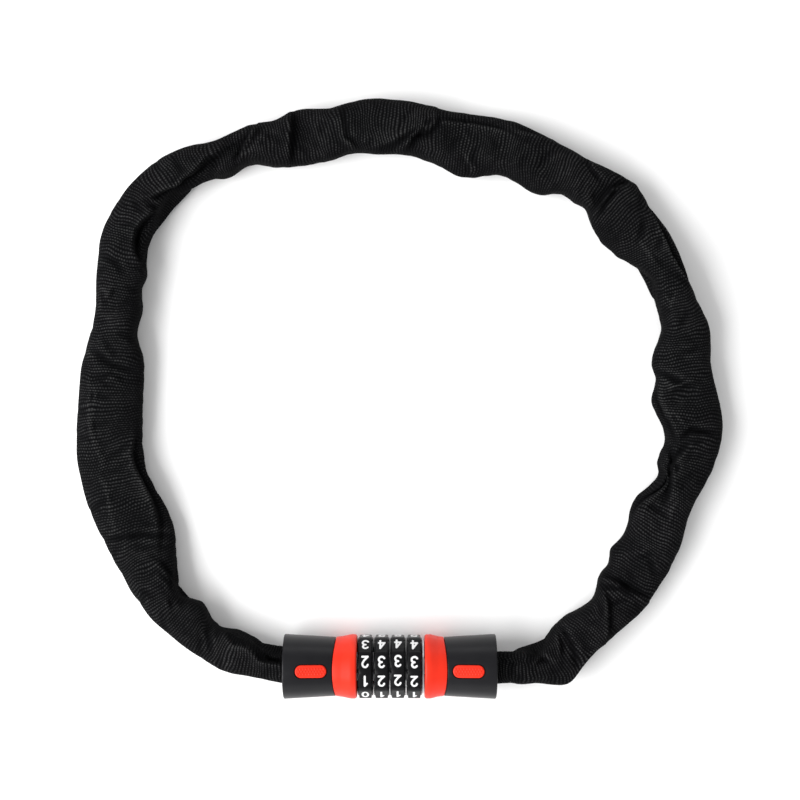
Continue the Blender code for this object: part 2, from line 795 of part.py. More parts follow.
def build():
    clear_scene()
    make_collection(COLLECTION_NAME)
    make_collection(CUTTERS_NAME)

    black = make_material("black_plastic", (0.03, 0.03, 0.035), 0.35)
    red = make_material("red_plastic", (0.9, 0.06, 0.02), 0.4)
    dial_black = make_material("dial_plastic", (0.018, 0.018, 0.02), 0.3)
    zinc = make_material("die_cast_zinc", (0.5, 0.5, 0.52), 0.4, 1.0)
    steel = make_material("hardened_steel", (0.42, 0.43, 0.45), 0.35, 1.0)
    spring_steel = make_material("spring_steel", (0.6, 0.6, 0.6), 0.3, 1.0)
    fabric = make_material("woven_sleeve", (0.01, 0.01, 0.011), 0.85)

    body = make_group("lock_body_origin", BARREL_CENTRE)
    plug = make_group("plug_slide_origin", barrel_point(RIGHT_COLLAR_FACE))
    swing = make_group("chain_swing_origin", chain_joints()[SWING_LINK])

    for side, group in (("left", body), ("right", plug)):
        housing(side, black, group)
        collar(side, red, group)
        sign = -1.0 if side == "left" else 1.0
        place(f"inlay_{side}", inlay_mesh(), red, group, inlay_matrix(sign))
        anchor_pin(side, steel, group)
    core_barrel(zinc, body)
    core_retainer(steel, body)
    turned("pressure_washer", ring_outline(CAM_BORE, WASHER_OUTER, *WASHER_U), steel, body, 24)
    reset_spring(spring_steel, body)
    detent_leaf(spring_steel, body)
    for number in range(1, DIAL_COUNT + 1):
        axis = make_group(f"dial_{number}_axis", barrel_point(dial_centre(number)))
        dial_ring(number, dial_black, axis)
        code_ring(number, zinc, axis)
    locking_pin(steel, plug)
    plug_insert(zinc, plug)
    chain(steel, body, swing)

    _, length = route_reader()
    mouth = SLEEVE_END_U - ANCHOR_U
    split = length * SWING_LINK / LINK_COUNT
    sleeve("sleeve_left", mouth, split - SLEEVE_SPLIT / 2, fabric, body)
    sleeve("sleeve_right", split + SLEEVE_SPLIT / 2, length - mouth, fabric, swing)


build()
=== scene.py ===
"""The looks of a combination chain lock, closed in a loop and lying flat, round its CAD frame.

Metres, +Z up, the table is z = 0. The barrel lies along X; "u" is the distance along it from its
middle, positive towards the plug. Round the barrel, an angle goes from straight up towards -Y.
"""

import json
import math
import random

import bmesh
import bpy
import numpy as np
from mathutils import Matrix, Vector, noise
from mathutils.bvhtree import BVHTree


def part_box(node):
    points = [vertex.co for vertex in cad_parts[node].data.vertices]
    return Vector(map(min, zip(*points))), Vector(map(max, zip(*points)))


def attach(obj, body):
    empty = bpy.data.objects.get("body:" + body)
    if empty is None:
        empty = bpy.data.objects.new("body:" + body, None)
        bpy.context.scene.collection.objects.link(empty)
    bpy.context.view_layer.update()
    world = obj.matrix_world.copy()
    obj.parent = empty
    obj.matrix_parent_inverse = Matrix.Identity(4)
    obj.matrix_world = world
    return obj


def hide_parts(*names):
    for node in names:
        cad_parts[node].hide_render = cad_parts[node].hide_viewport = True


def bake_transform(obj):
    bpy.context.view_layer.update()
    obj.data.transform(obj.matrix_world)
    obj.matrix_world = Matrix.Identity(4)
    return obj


MM = 0.001
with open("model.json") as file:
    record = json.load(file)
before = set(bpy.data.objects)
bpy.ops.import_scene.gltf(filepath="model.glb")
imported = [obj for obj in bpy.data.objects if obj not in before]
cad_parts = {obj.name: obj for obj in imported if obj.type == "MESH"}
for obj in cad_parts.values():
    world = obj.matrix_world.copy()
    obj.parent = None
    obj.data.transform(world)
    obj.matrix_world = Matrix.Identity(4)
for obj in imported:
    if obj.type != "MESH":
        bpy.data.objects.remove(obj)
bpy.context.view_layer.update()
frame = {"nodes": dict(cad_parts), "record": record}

# Barrel, from the frame: its ends are the housings' outer faces
LEFT_LOW, LEFT_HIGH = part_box("housing_left")
RIGHT_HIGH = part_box("housing_right")[1]
END_RADIUS = (LEFT_HIGH.z - LEFT_LOW.z) / 2
HALF_LENGTH = (RIGHT_HIGH.x - LEFT_LOW.x) / 2
SIGNS = {"left": -1.0, "right": 1.0}
BARREL = Vector((
    (RIGHT_HIGH.x + LEFT_LOW.x) / 2,
    (LEFT_HIGH.y + LEFT_LOW.y) / 2,
    (LEFT_HIGH.z + LEFT_LOW.z) / 2,
))
NECK_RADIUS = 11.55 * MM
SHELL_INNER = 21.4 * MM  # |u| where a housing starts, at its sides
SHOULDER_WAVE = 1.2 * MM  # how much further out it starts at the top and bottom
SHOULDER_NEAR = 0.5 * MM  # what lies this near its start moves with it, and the move
SHOULDER_FADE = 3.5 * MM  # fades away over this length
LINER_START = 0.5 * MM  # from the collar's face to the housing's thin tube under it
LINER_WALL = 0.7 * MM
SEAM = 0.22 * MM  # the dark line between housing and collar
BORE_RADIUS = 9.0 * MM
MOUTH_RADIUS = 10.2 * MM
MOUTH_DEPTH = 7.0 * MM
TURN_STEPS = 96

COLLAR_RADIUS = 12.65 * MM
COLLAR_BORE = BORE_RADIUS + 1.2 * MM
COLLAR_LIP = 2.2 * MM  # from its face to where it is widest
COLLAR_HEM = 2.4 * MM  # from its back to where its taper ends
COLLAR_FACES = {
    "left": BARREL.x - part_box("collar_left")[1].x,
    "right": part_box("collar_right")[0].x - BARREL.x,
}

INLAY_LENGTH = 12.4 * MM
INLAY_WIDTH = 5.0 * MM
INLAY_U = 30.8 * MM
INLAY_SINK = 0.2 * MM
INLAY_GROOVE = 0.35 * MM  # the open line round it
INLAY_POCKET = 1.3 * MM
CUTTER_TOP = 3.0 * MM  # clear of the housing's surface
INLAY_BED = 0.1 * MM  # between the pocket's floor and the inlay
INLAY_EDGE = 0.45 * MM
DOT_PITCH = 1.15 * MM
DOT_ROW_PITCH = 0.87 * DOT_PITCH
DOT_RADIUS = 0.42 * MM
DOT_HEIGHT = 0.16 * MM
DOT_MARGIN = 0.6 * MM

DIALS = (1, 2, 3, 4)
DIGITS_AT_INDEX = {1: 1, 2: 2, 3: 2, 4: 2}
DIAL_SLIPS = {1: 0.0, 2: 0.0, 3: -1.8, 4: 0.4}  # degrees off the row, as the rings really stand
INDEX_ANGLE = 18.0  # degrees, the row that is read
DIGIT_COUNT = 10
ROW_ANGLE = 360.0 / DIGIT_COUNT
DIAL_STEPS = 240
BAND_WIDTH = 4.9 * MM
BAND_RADIUS = 12.1 * MM  # at the middle of a digit's flat
FLAT_HALF_ANGLE = 13.0  # degrees, where a flat starts to round over into the next
SHOULDER_RADIUS = 11.35 * MM
DIAL_BORE = 9.3 * MM
DIAL_EDGE = 0.35 * MM  # how far in its edges start to round over
CORNER_SWELL = 0.1 * MM  # how much a band's corners stand out beyond its flats
SCALLOP_DEPTH = 0.5 * MM
SCALLOP_ANGLE = 4.5
DIGIT_WIDTH = 3.1 * MM
DIGIT_HEIGHT = 4.9 * MM
STROKE = 0.85 * MM
DIGIT_RISE = 0.05 * MM
STROKE_STAGGER = 0.015 * MM  # how much higher each further stroke of a digit lies

LINKS = sorted(name for name in frame["nodes"] if name.startswith("chain_link_"))

# The chain's route, clockwise seen from above, from the left anchor pin to the right one, in mm:
# x, y, height of the chain's middle. The same points as in the CAD.
ROUTE = [
    (-35.0, -105.8, 12.75), (-46.0, -105.5, 12.6), (-56.0, -103.9, 11.7), (-66.7, -99.9, 9.9),
    (-80.6, -92.9, 7.7), (-91.4, -83.2, 6.8), (-99.7, -67.6, 6.7), (-107.0, -48.2, 6.7),
    (-113.5, -28.0, 6.7), (-115.7, -6.0, 6.7), (-114.5, 16.0, 6.7), (-112.5, 40.0, 6.7),
    (-108.0, 62.0, 6.7), (-96.5, 83.0, 6.7), (-77.5, 95.5, 6.7), (-52.0, 102.8, 6.7),
    (-26.0, 107.0, 6.7), (0.0, 107.6, 6.7), (24.0, 104.3, 6.7), (47.0, 98.8, 6.7),
    (70.0, 89.0, 6.7), (88.0, 75.5, 6.7), (101.5, 57.0, 6.7), (110.0, 37.0, 6.7),
    (114.0, 14.0, 6.7), (115.7, -9.0, 6.7), (112.5, -31.0, 6.7), (103.5, -52.0, 6.7),
    (92.5, -71.5, 6.7), (78.3, -89.3, 7.1), (66.2, -100.3, 9.0), (52.8, -105.4, 11.4),
    (38.0, -105.95, 12.65), (27.0, -105.8, 12.75),
]

# The sleeve's two edges seen from above: distance along the chain, and reach to that side, in mm.
# One point at each bulge and each notch of the edge, and where a slope changes.
INNER_EDGE = [
    (5, 7), (17, 5.5), (27, 8), (34, 8), (44, 6), (55, 10), (67, 6), (75, 9), (93, 14.5),
    (120, 11.5), (147, 12.5), (168, 11.5), (178, 8.5), (188, 9.5), (198, 8.5), (202, 9.5),
    (208, 8), (218, 6.5), (223, 7), (236, 5.5), (248, 6), (258, 7), (267, 9), (278, 6.5),
    (288, 10), (311, 10.5), (321, 8.5), (330, 9.5), (340, 9), (354, 11), (369, 14.5), (382, 10.5),
    (403, 12), (412, 8), (418, 8.5), (422, 8), (431, 12), (448, 12.5), (459, 7.5), (466, 5),
    (475, 6.5), (487, 7), (502, 13), (507, 12), (515, 14.5), (535, 9), (545, 10.5), (550, 9),
    (564, 14), (581, 11.5), (588, 13), (595, 10.5), (599, 11), (610, 7.5), (626, 11), (635, 9.5),
    (643, 5), (658, 5), (668, 7),
]
OUTER_EDGE = [
    (5, 7), (22, 6.5), (33, 9), (40, 8), (60, 8), (80, 11), (99, 14), (127, 15), (146, 13.5),
    (168, 12), (175, 10), (187, 8.5), (200, 10), (216, 12), (232, 10.5), (258, 8), (265, 6.5),
    (280, 8.5), (291, 8.5), (299, 11), (314, 10), (322, 12), (358, 11), (383, 12), (415, 9),
    (433, 12), (439, 10.5), (446, 11), (468, 9.5), (475, 8.5), (491, 11.5), (506, 10.5),
    (528, 13.5), (542, 11.5), (553, 8.5), (577, 11), (602, 11), (618, 8.5), (629, 9), (637, 12),
    (648, 7.5), (660, 6.5), (668, 7),
]

# Folds of the sleeve's top: corner points as (distance along in mm, place across from -1 at the
# inner edge to 1 at the outer one), then the drop in mm. Going along the points, the cloth on the
# right of a fold lies lower than the cloth on its left.
FOLDS = [
    ([(4, -0.2), (20, -0.25), (22, -0.4), (25, -0.57), (28, -0.52), (32, -0.4), (35, -0.55),
      (39, -1.0)], 5.0),
    ([(82, -0.4), (77, -0.6), (73, -0.82), (68, -1.05)][::-1], 3.0),
    ([(63, -0.1), (66, -0.25), (68, -0.45)], 1.0),
    ([(92, -0.6), (100, -0.7), (110, -0.78), (116, -0.78), (121, -0.72), (128, -0.66),
      (137, -0.8)], 5.0),
    ([(122, 0.42), (127, 0.2), (134, 0.42), (140, 0.5), (150, 0.55), (161, 0.62)], 0.8),
    ([(157, -0.45), (160, -0.15), (161, 0.15)], 1.0),
    ([(190, 0.55), (192, 0.3), (196, 0.2)], 1.0),
    ([(203, -1.05), (207, -0.85), (211, -0.5), (216, -0.27), (220, -0.17), (224, -0.28),
      (228, -0.5), (232, -0.85)], 5.0),
    ([(232, 0.15), (236, -0.18), (240, -0.42), (244, -0.66), (247, -0.68), (250, -0.5),
      (253, -0.52), (257, -0.3), (260, -0.12), (265, 0.0), (270, 0.15)], 5.0),
    ([(283, 0.75), (281, 0.45), (279, 0.2), (276.5, -0.15), (275, -0.5), (273, -0.95)], 3.6),
    ([(293, -0.98), (294.6, -0.4), (296, 0.1), (297.5, 0.98)], 3.6),
    ([(322, -0.98), (319, -0.6), (316, -0.35)], 1.6),
    ([(341, -0.98), (343.5, -0.6), (344.5, -0.3), (347, 0.0), (351, 0.1), (353, 0.3),
      (353, 0.7)], 3.6),
    ([(366, -0.4), (369, -0.65), (371, -0.95)], 1.2),
    ([(384, 0.45), (376, 0.53), (368, 0.55), (360, 0.5), (353, 0.42)], 2.2),
    ([(399, 0.85), (391, 0.72), (383, 0.64)], 1.8),
    ([(413, 0.98), (417, 0.62), (423, 0.45)], 1.8),
    ([(432, 0.95), (429, 0.6), (427.5, 0.3), (427.3, 0.0), (427.5, -0.4), (427, -0.98)], 4.0),
    ([(479, 1.05), (474, 0.86), (470, 0.7), (465, 0.57), (460, 0.5), (455, 0.57), (450, 0.65),
      (444, 0.76), (437, 1.0)], 3.4),
    ([(513, -0.7), (511, -0.3), (510, 0.2)], 1.8),
    ([(509, -0.95), (514, -0.84), (520, -0.76), (526, -0.7), (534, -0.6)], 2.6),
    ([(533, 0.1), (537, -0.15), (541, -0.38), (545, -0.52), (549, -0.5), (553, -0.38),
      (558, -0.25), (564, -0.1)], 4.2),
    ([(546, -0.95), (552, -0.66), (557, -0.68), (563, -0.77), (571, -0.9)], 4.0),
    ([(597, 0.9), (598, 0.4), (598.5, 0.0), (598.7, -0.4), (600, -0.98)], 3.2),
    ([(619, 0.8), (615, 0.35), (611.5, 0.0), (607.5, -0.4), (604, -0.85)], 2.4),
    ([(638, 0.05), (636, -0.4), (633, -0.95)], 1.8),
    ([(640, 0.98), (632, 0.75), (626, 0.72), (619, 0.9)], 2.2),
    ([(641, 0.1), (642.5, -0.4), (644, -0.98)][::-1], 2.4),
]
# Creases of the sleeve's top, pressed in along a line: the same kind of points, then the depth.
CREASES = [
    ([(46, -1.0), (39, 0.4)], 1.6),
    ([(79, -0.4), (69, -1.0)], 2.0),
    ([(90, -1.0), (95, -0.2), (98, 0.9)], 1.9),
    ([(87, -0.8), (92, 0.3)], 1.0),
    ([(171, 0.7), (165, 0.0), (163, -0.7)], 1.8),
    ([(160, 0.5), (161, -0.3)], 1.5),
    ([(168, -0.2), (175, 0.3)], 1.3),
    ([(193, 0.6), (187, 0.4)], 1.2),
    ([(207, 0.9), (205, 0.2), (201, -0.2)], 1.5),
    ([(229, -1.0), (232, -0.6), (231, 0.0)], 2.2),
    ([(286, 0.6), (280, 0.1), (272, -0.6)], 2.4),
    ([(317, 0.9), (319, -0.6)], 1.6),
    ([(328, -1.0), (338, -0.7), (353, 0.5)], 2.4),
    ([(369, -1.0), (371, -0.2)], 1.5),
    ([(413, 0.9), (421, 0.4)], 1.8),
    ([(429, 0.8), (428, 0.0), (429, -0.7)], 3.4),
    ([(443, 0.4), (450, -0.3)], 1.2),
    ([(467, 0.3), (474, 0.8)], 1.3),
    ([(472, -0.5), (477, -0.4), (474, 0.1)], 1.3),
    ([(504, -1.0), (510, -0.3), (512, 0.1)], 2.0),
    ([(515, -0.8), (525, -0.9)], 1.3),
    ([(533, -0.4), (529, 0.0), (530, 0.8)], 3.6),
    ([(537, -0.9), (545, -0.4), (551, -0.8)], 3.6),
    ([(566, -0.9), (564, -0.6), (566, 0.2)], 1.4),
    ([(583, 0.0), (588, 0.6)], 1.4),
    ([(604, -1.0), (599, -0.2), (598, 0.6)], 2.2),
    ([(629, -1.0), (633, 0.6)], 2.4),
    ([(657, -0.9), (657, 0.8)], 0.9),
]
# Thin pinched ridges with rubbed threads and a painted highlight, their points placed as above.
RIDGES = [
    [(159, 0.7), (154, 0.4), (140, 0.5), (127, 0.2)],
    [(126, 0.2), (122, 0.4), (118, 0.3), (100, 0.5)],
    [(160, 0.1), (160, -0.3)],
    [(171, 1.0), (165, 0.4)],
    [(195, 0.8), (193, 0.2)],
    [(275, -0.3), (282, 0.3)],
    [(343, -0.5), (349, 0.3)],
    [(449, -0.2), (460, -0.3)],
    [(473, -0.6), (478, -0.4), (474, 0.1)],
    [(512, -0.9), (519, -0.8), (527, -0.8)],
    [(521, -0.6), (530, -0.1)],
    [(550, -0.2), (567, 0.1)],
    [(571, -0.7), (553, -0.6)],
]
# Soft dents right across the sleeve: distance along in mm, slant in mm from edge to edge, depth.
DENTS = [
    (24, 3, 0.4), (44, -4, 0.5), (58, 3, 0.4), (70, 3, 0.6), (85, -3, 0.9), (95.7, 4.5, 1.3),
    (104, -4, 0.3), (135, 6, 0.3), (154, -5, 0.6), (166, 6, 0.9), (178, 2, 1.2), (190, -4, 0.8),
    (206, 3, 0.7), (242, 4, 0.4), (264, -3, 0.9), (288, 3, 0.6), (304, 3, 0.4), (314, -3, 0.7),
    (323, -4, 0.6), (334, 3, 0.5), (362, 8, 0.6), (382, -6, 0.7), (394, 4, 0.4), (412, 3, 0.6),
    (438, 5, 0.6), (451, -4, 0.4), (466, -3, 0.6), (478, 3, 1.2), (487, -4, 0.9), (502, 2, 0.7),
    (518, 6, 0.4), (538, 3, 0.9), (549, -5, 0.6), (574, 5, 0.5), (583, -4, 0.8), (592, 3, 0.4),
    (622, 5, 0.5), (629, -4, 0.5), (647, 3, 0.8), (657, 0, 1.0),
]
SLEEVE_STEP = 0.85 * MM
SLEEVE_ROUND = 0.062
SLEEVE_SIDES = 96
SLEEVE_TOP = 17.0 * MM
WIDE_FROM, WIDE_OVER = 15 * MM, 13 * MM  # the sleeve flattens over this range of widths
WIDE_SINK = 3.0 * MM  # how much lower its top lies where it is widest
LIFT_FROM, LIFT_OVER = 7.0 * MM, 5.0 * MM  # the chain's height where the sleeve leaves the table
ABOVE_CHAIN, BELOW_CHAIN = 6.9 * MM, 7.0 * MM  # from the chain's middle, once it has left it
SECTION_POWER, WIDE_POWER = 2.9, 2.15  # the sections' squareness, 2 being an ellipse
SLEEVE_WALL = 0.5 * MM
SLEEVE_SHARP = 75.0  # degrees, the fold that still shades smooth
CALM_FROM, CALM_OVER = 7 * MM, 6 * MM  # folds fade in over this range from an anchor pin
TOP_FROM, TOP_OVER = -0.35, 0.6  # and over this range up the section, from -1 to 1
CLEARANCE = 0.7 * MM  # from the chain to the sleeve's outside
RAY_LENGTH = 12 * MM  # further than any link lies from the chain's middle
MOUTH_START = 6.4 * MM  # from an anchor pin, along the chain, to the sleeve's end in its mouth
FOLD_LIP = 1.1 * MM
FOLD_REACH = 9.0 * MM
FOLD_SWELL = 0.3  # how high its lip swells up, of its drop
CREST_AT, CREST_WIDTH = 0.4 * MM, 0.8 * MM  # the rubbed threads with a painted highlight, from the fold's line
HOLLOW_AT, HOLLOW_WIDTH = -1.4 * MM, 1.3 * MM  # the painted shade below it
DEEP_FOLD, DEEP_CREASE = 3.0, 2.0  # mm, as deep as their painted shade and rubbed threads show in full
FOLD_DIRECTION = np.array((0.4, 0.4, 1.0))  # folds sink rather than pinch the sleeve's sides
CREASE_WIDTH = 1.6 * MM
SMALL_CREASES = 120
SMALL_CREASE_SEED = 5
RIDGE_WIDTH = 0.7 * MM
RIDGE_HEIGHT = 0.45 * MM
RIDGE_WEAR_AND_GLINT = 1.4
DENT_WIDTH = 3.2 * MM
RIB_PITCH = 1.18 * MM
DOT_SPACING = 1.12 * MM

CAMERA_HEIGHT = 0.6  # straight above the table, looking down
CAMERA_LENS = 66.5
WORLD_STRENGTH = 0.6
FLOOR_DEPTH = 0.0001  # under the table's height, so that nothing lies in its plane


# --- tools ---


def smoothstep(value):
    value = np.clip(value, 0.0, 1.0)
    return value * value * (3 - 2 * value)


def add_object(name, data):
    obj = bpy.data.objects.new(name, data)
    bpy.context.scene.collection.objects.link(obj)
    return obj


def smooth(mesh, sharp):
    """Shades the mesh smooth but for edges sharper than the angle in degrees."""
    mesh.shade_smooth()
    mesh.set_sharp_from_angle(angle=math.radians(sharp))


def finish_mesh(name, shape, sharp=40.0):
    """The bmesh as an object."""
    mesh = bpy.data.meshes.new(name)
    shape.to_mesh(mesh)
    shape.free()
    smooth(mesh, sharp)
    return add_object(name, mesh)


def fillet(outline, radii, steps):
    """A closed outline with each corner that has a radius rounded by an arc."""
    points = []
    count = len(outline)
    for i in range(count):
        here = Vector(outline[i])
        radius = radii[i]
        if radius <= 0.0:
            points.append(tuple(here))
            continue
        before = (Vector(outline[i - 1]) - here).normalized()
        after = (Vector(outline[(i + 1) % count]) - here).normalized()
        half = before.angle(after) / 2
        start = here + before * radius / math.tan(half)
        end = here + after * radius / math.tan(half)
        centre = here + (before + after).normalized() * radius / math.sin(half)
        a, b = start - centre, end - centre
        sweep = a.angle(b)
        for step in range(steps + 1):
            share = step / steps
            at = math.sin((1 - share) * sweep) * a + math.sin(share * sweep) * b
            points.append(tuple(centre + at / math.sin(sweep)))
    return points


def join_rings(shape, rings):
    """Faces from each ring of points to the next."""
    for ring, following in zip(rings, rings[1:]):
        for i in range(len(ring)):
            j = (i + 1) % len(ring)
            shape.faces.new((ring[i], ring[j], following[j], following[i]))


def turned_shape(outlines):
    """A ring about the barrel's axis: a closed outline of (radius, u) points for each step."""
    shape = bmesh.new()
    rings = []
    for step, outline in enumerate(outlines):
        angle = 2 * math.pi * step / len(outlines)
        around = Vector((0.0, -math.sin(angle), math.cos(angle)))
        spots = [BARREL + Vector((u, 0.0, 0.0)) + around * radius for radius, u in outline]
        rings.append([shape.verts.new(spot) for spot in spots])
    join_rings(shape, rings + rings[:1])
    bmesh.ops.recalc_face_normals(shape, faces=shape.faces)
    return shape


def end_shape(side, outline, radii, steps):
    """A ring at one end of the barrel, from a (radius, |u|) outline with its corners rounded.

    What lies near the housing's start is moved outwards at the top and bottom.
    """
    sign = SIGNS[side]
    rounded = [(radius, sign * u) for radius, u in fillet(outline, radii, steps)]
    shape = turned_shape([rounded] * TURN_STEPS)
    for vertex in shape.verts:
        offset = vertex.co - BARREL
        beyond = abs(abs(offset.x) - SHELL_INNER) - SHOULDER_NEAR
        near = 1 - smoothstep(beyond / SHOULDER_FADE)
        across = Vector((offset.y, offset.z))
        vertex.co.x += sign * SHOULDER_WAVE * near * (offset.z / across.length) ** 2
    return shape


def apply_modifiers(obj, sharp=40.0):
    graph = bpy.context.evaluated_depsgraph_get()
    mesh = bpy.data.meshes.new_from_object(obj.evaluated_get(graph))
    obj.modifiers.clear()
    obj.data = mesh
    smooth(mesh, sharp)


def cut(obj, cutter, operation="DIFFERENCE"):
    """Cuts the object with the cutter, or joins it on, and removes the cutter."""
    modifier = obj.modifiers.new("cut", "BOOLEAN")
    modifier.operation = operation
    modifier.object = cutter
    modifier.solver = "EXACT"
    apply_modifiers(obj)
    bpy.data.objects.remove(cutter)


def give(obj, material):
    obj.data.materials.clear()
    obj.data.materials.append(material)
    return obj


def frame_at(u, radius, angle):
    """A matrix on the barrel: X along it, Z out of it at the angle, Y round it away from -Y."""
    turn = Matrix.Rotation(angle, 4, "X") @ Matrix.Translation((0.0, 0.0, radius))
    return Matrix.Translation(BARREL + Vector((u, 0.0, 0.0))) @ turn


# --- materials ---


class Nodes:
    """A material's node tree, with short ways to add and join nodes."""

    def __init__(self, name):
        self.material = bpy.data.materials.new(name)
        self.material.use_nodes = True
        self.tree = self.material.node_tree
        self.shader = self.tree.nodes["Principled BSDF"]

    def feed(self, node, inputs):
        """Gives a node's inputs their values, or links them to other nodes' outputs."""
        for key, value in inputs.items():
            if isinstance(value, bpy.types.NodeSocket):
                self.tree.links.new(value, node.inputs[key])
            else:
                node.inputs[key].default_value = value

    def add(self, kind, inputs=None, **settings):
        node = self.tree.nodes.new(kind)
        for key, value in settings.items():
            setattr(node, key, value)
        self.feed(node, inputs or {})
        return node

    def surface(self, inputs):
        """Sets the shader's inputs and hands over the finished material."""
        self.feed(self.shader, inputs)
        return self.material

    def math(self, operation, *values):
        return self.add("ShaderNodeMath", dict(enumerate(values)), operation=operation).outputs[0]

    def noise(self, vector, scale, detail=3.0, roughness=0.55):
        inputs = {"Vector": vector, "Scale": scale, "Detail": detail, "Roughness": roughness}
        return self.add("ShaderNodeTexNoise", inputs).outputs["Fac"]

    def ramp(self, factor, stops):
        node = self.add("ShaderNodeValToRGB", {"Fac": factor})
        elements = node.color_ramp.elements
        while len(elements) < len(stops):
            elements.new(0.5)
        for element, (position, colour) in zip(elements, stops):
            element.position = position
            element.color = (*colour, 1.0)
        return node.outputs["Color"]

    def range(self, value, low, high):
        """The value, from 0 to 1, spread from low to high."""
        inputs = {"Value": value, "To Min": low, "To Max": high}
        return self.add("ShaderNodeMapRange", inputs).outputs["Result"]

    def bump(self, height, distance):
        inputs = {"Height": height, "Distance": distance, "Strength": 1.0}
        return self.add("ShaderNodeBump", inputs).outputs["Normal"]

    def coordinates(self, output="Object"):
        return self.add("ShaderNodeTexCoord").outputs[output]

    def split(self, vector):
        """The vector's three parts."""
        return self.add("ShaderNodeSeparateXYZ", {"Vector": vector}).outputs


def moulded_plastic(name, dark, light, roughness, grain, specular=0.5, coat=0.0):
    """Moulded plastic: cloudy colour, fine grain, and faint rubbed streaks along the barrel."""
    nodes = Nodes(name)
    place = nodes.coordinates()
    cloud = nodes.noise(place, 90.0, 2.0)
    stretch = nodes.add("ShaderNodeMapping", {"Vector": place, "Scale": (0.12, 1.0, 1.0)})
    streaks = nodes.noise(stretch.outputs["Vector"], 900.0, 2.0)
    pebbles = nodes.noise(place, 2600.0, 2.0)
    return nodes.surface({
        "Base Color": nodes.ramp(cloud, [(0.3, dark), (0.7, light)]),
        "Roughness": nodes.range(streaks, roughness - 0.06, roughness + 0.08),
        "Normal": nodes.bump(pebbles, grain),
        "Specular IOR Level": specular,
        "Coat Weight": coat,
        "Coat Roughness": 0.25,
    })


def metal(name, dark, light, roughness, scale):
    """Plated or cast metal with a mottled surface."""
    nodes = Nodes(name)
    place = nodes.coordinates()
    mottle = nodes.noise(place, scale, 4.0)
    pits = nodes.noise(place, scale * 6, 2.0)
    return nodes.surface({
        "Base Color": nodes.ramp(mottle, [(0.3, dark), (0.7, light)]),
        "Roughness": nodes.range(mottle, roughness - 0.08, roughness + 0.1),
        "Metallic": 1.0,
        "Normal": nodes.bump(pits, 0.02 * MM),
    })


def woven(name):
    """Black ribbed webbing. The map's X is metres round the sleeve and Y metres along it."""
    nodes = Nodes(name)
    cloth = nodes.split(nodes.coordinates("UV"))
    place = nodes.coordinates()
    sway = nodes.range(nodes.noise(place, 150.0, 3.0), -0.65, 0.65)

    def wave(turns):
        turned = nodes.math("COSINE", nodes.math("MULTIPLY", turns, 2 * math.pi))
        return nodes.math("MULTIPLY_ADD", turned, 0.5, 0.5)

    ribs = nodes.math("MULTIPLY_ADD", cloth["Y"], 1 / RIB_PITCH, sway)
    offset = nodes.math("MULTIPLY", nodes.math("ROUND", ribs), 0.5)
    stitches = nodes.math("MULTIPLY_ADD", cloth["X"], 1 / DOT_SPACING, offset)
    dotted = nodes.range(nodes.noise(place, 70.0, 2.0), 0.0, 1.15)
    gaps = nodes.math("MULTIPLY", nodes.math("SUBTRACT", 1.0, wave(stitches)), dotted)
    weave = nodes.math("MULTIPLY", wave(ribs), nodes.math("SUBTRACT", 1.0, gaps))
    tone_marks = nodes.noise(place, 110.0, 3.0, 0.6)
    sparkle = nodes.noise(place, 1900.0, 2.0, 0.7)
    wear_and_shade = nodes.add("ShaderNodeAttribute", attribute_name="wear_and_shade").outputs["Fac"]
    painted_top_light = nodes.math("MAXIMUM", nodes.split(nodes.coordinates("Normal"))["Z"], 0.0)
    thread = weave
    # Each thread's brightness: random patches, random sparkle, the per-point mark from the folds
    # (painted shade in hollows, rubbed threads with a painted highlight on ridges), and painted
    # light on threads that face up
    for factor in (
        nodes.range(tone_marks, 0.3, 1.3),
        nodes.range(sparkle, -0.3, 2.0),
        nodes.math("MULTIPLY_ADD", wear_and_shade, 0.75, 1.0),
        nodes.math("MULTIPLY_ADD", painted_top_light, 0.75, 0.25),  # painted light: the top is lighter than the sides
    ):
        thread = nodes.math("MULTIPLY", thread, factor)
    hollow, rib_side, rib_top = (0.001, 0.001, 0.0012), (0.0055, 0.0056, 0.0062), (0.039,) * 3
    return nodes.surface({
        "Base Color": nodes.ramp(thread, [(0.0, hollow), (0.3, rib_side), (0.95, rib_top)]),
        "Roughness": nodes.range(tone_marks, 0.95, 0.82),
        "Normal": nodes.bump(weave, 0.25 * MM),
        "Specular IOR Level": 0.04,
        "Sheen Weight": 0.004,
        "Sheen Roughness": 0.5,
    })


def make_materials():
    return {
        "black": moulded_plastic(
            "black_plastic",
            dark=(0.0052, 0.0052, 0.0066), light=(0.0075, 0.0075, 0.009),
            roughness=0.36, grain=0.012 * MM, specular=0.19,
        ),
        "red": moulded_plastic(
            "red_plastic",
            dark=(0.66, 0.021, 0.006), light=(0.74, 0.027, 0.009),
            roughness=0.42, grain=0.008 * MM, specular=0.22,
        ),
        "dial": moulded_plastic(
            "dial_plastic",
            dark=(0.0025, 0.0025, 0.0031), light=(0.0036, 0.0036, 0.0043),
            roughness=0.28, grain=0.006 * MM, specular=0.13, coat=0.02,
        ),
        "paint": moulded_plastic(
            "digit_paint",
            dark=(0.66,) * 3, light=(0.74,) * 3,
            roughness=0.45, grain=0.006 * MM,
        ),
        "zinc": metal("die_cast_zinc", (0.42, 0.42, 0.44), (0.56, 0.56, 0.58), 0.45, 400.0),
        "steel": metal("plated_steel", (0.32, 0.33, 0.35), (0.46, 0.46, 0.48), 0.32, 250.0),
        "spring": metal("spring_steel", (0.55, 0.55, 0.55), (0.68, 0.68, 0.67), 0.25, 600.0),
        "woven": woven("woven_polyester"),
    }


# --- barrel ---


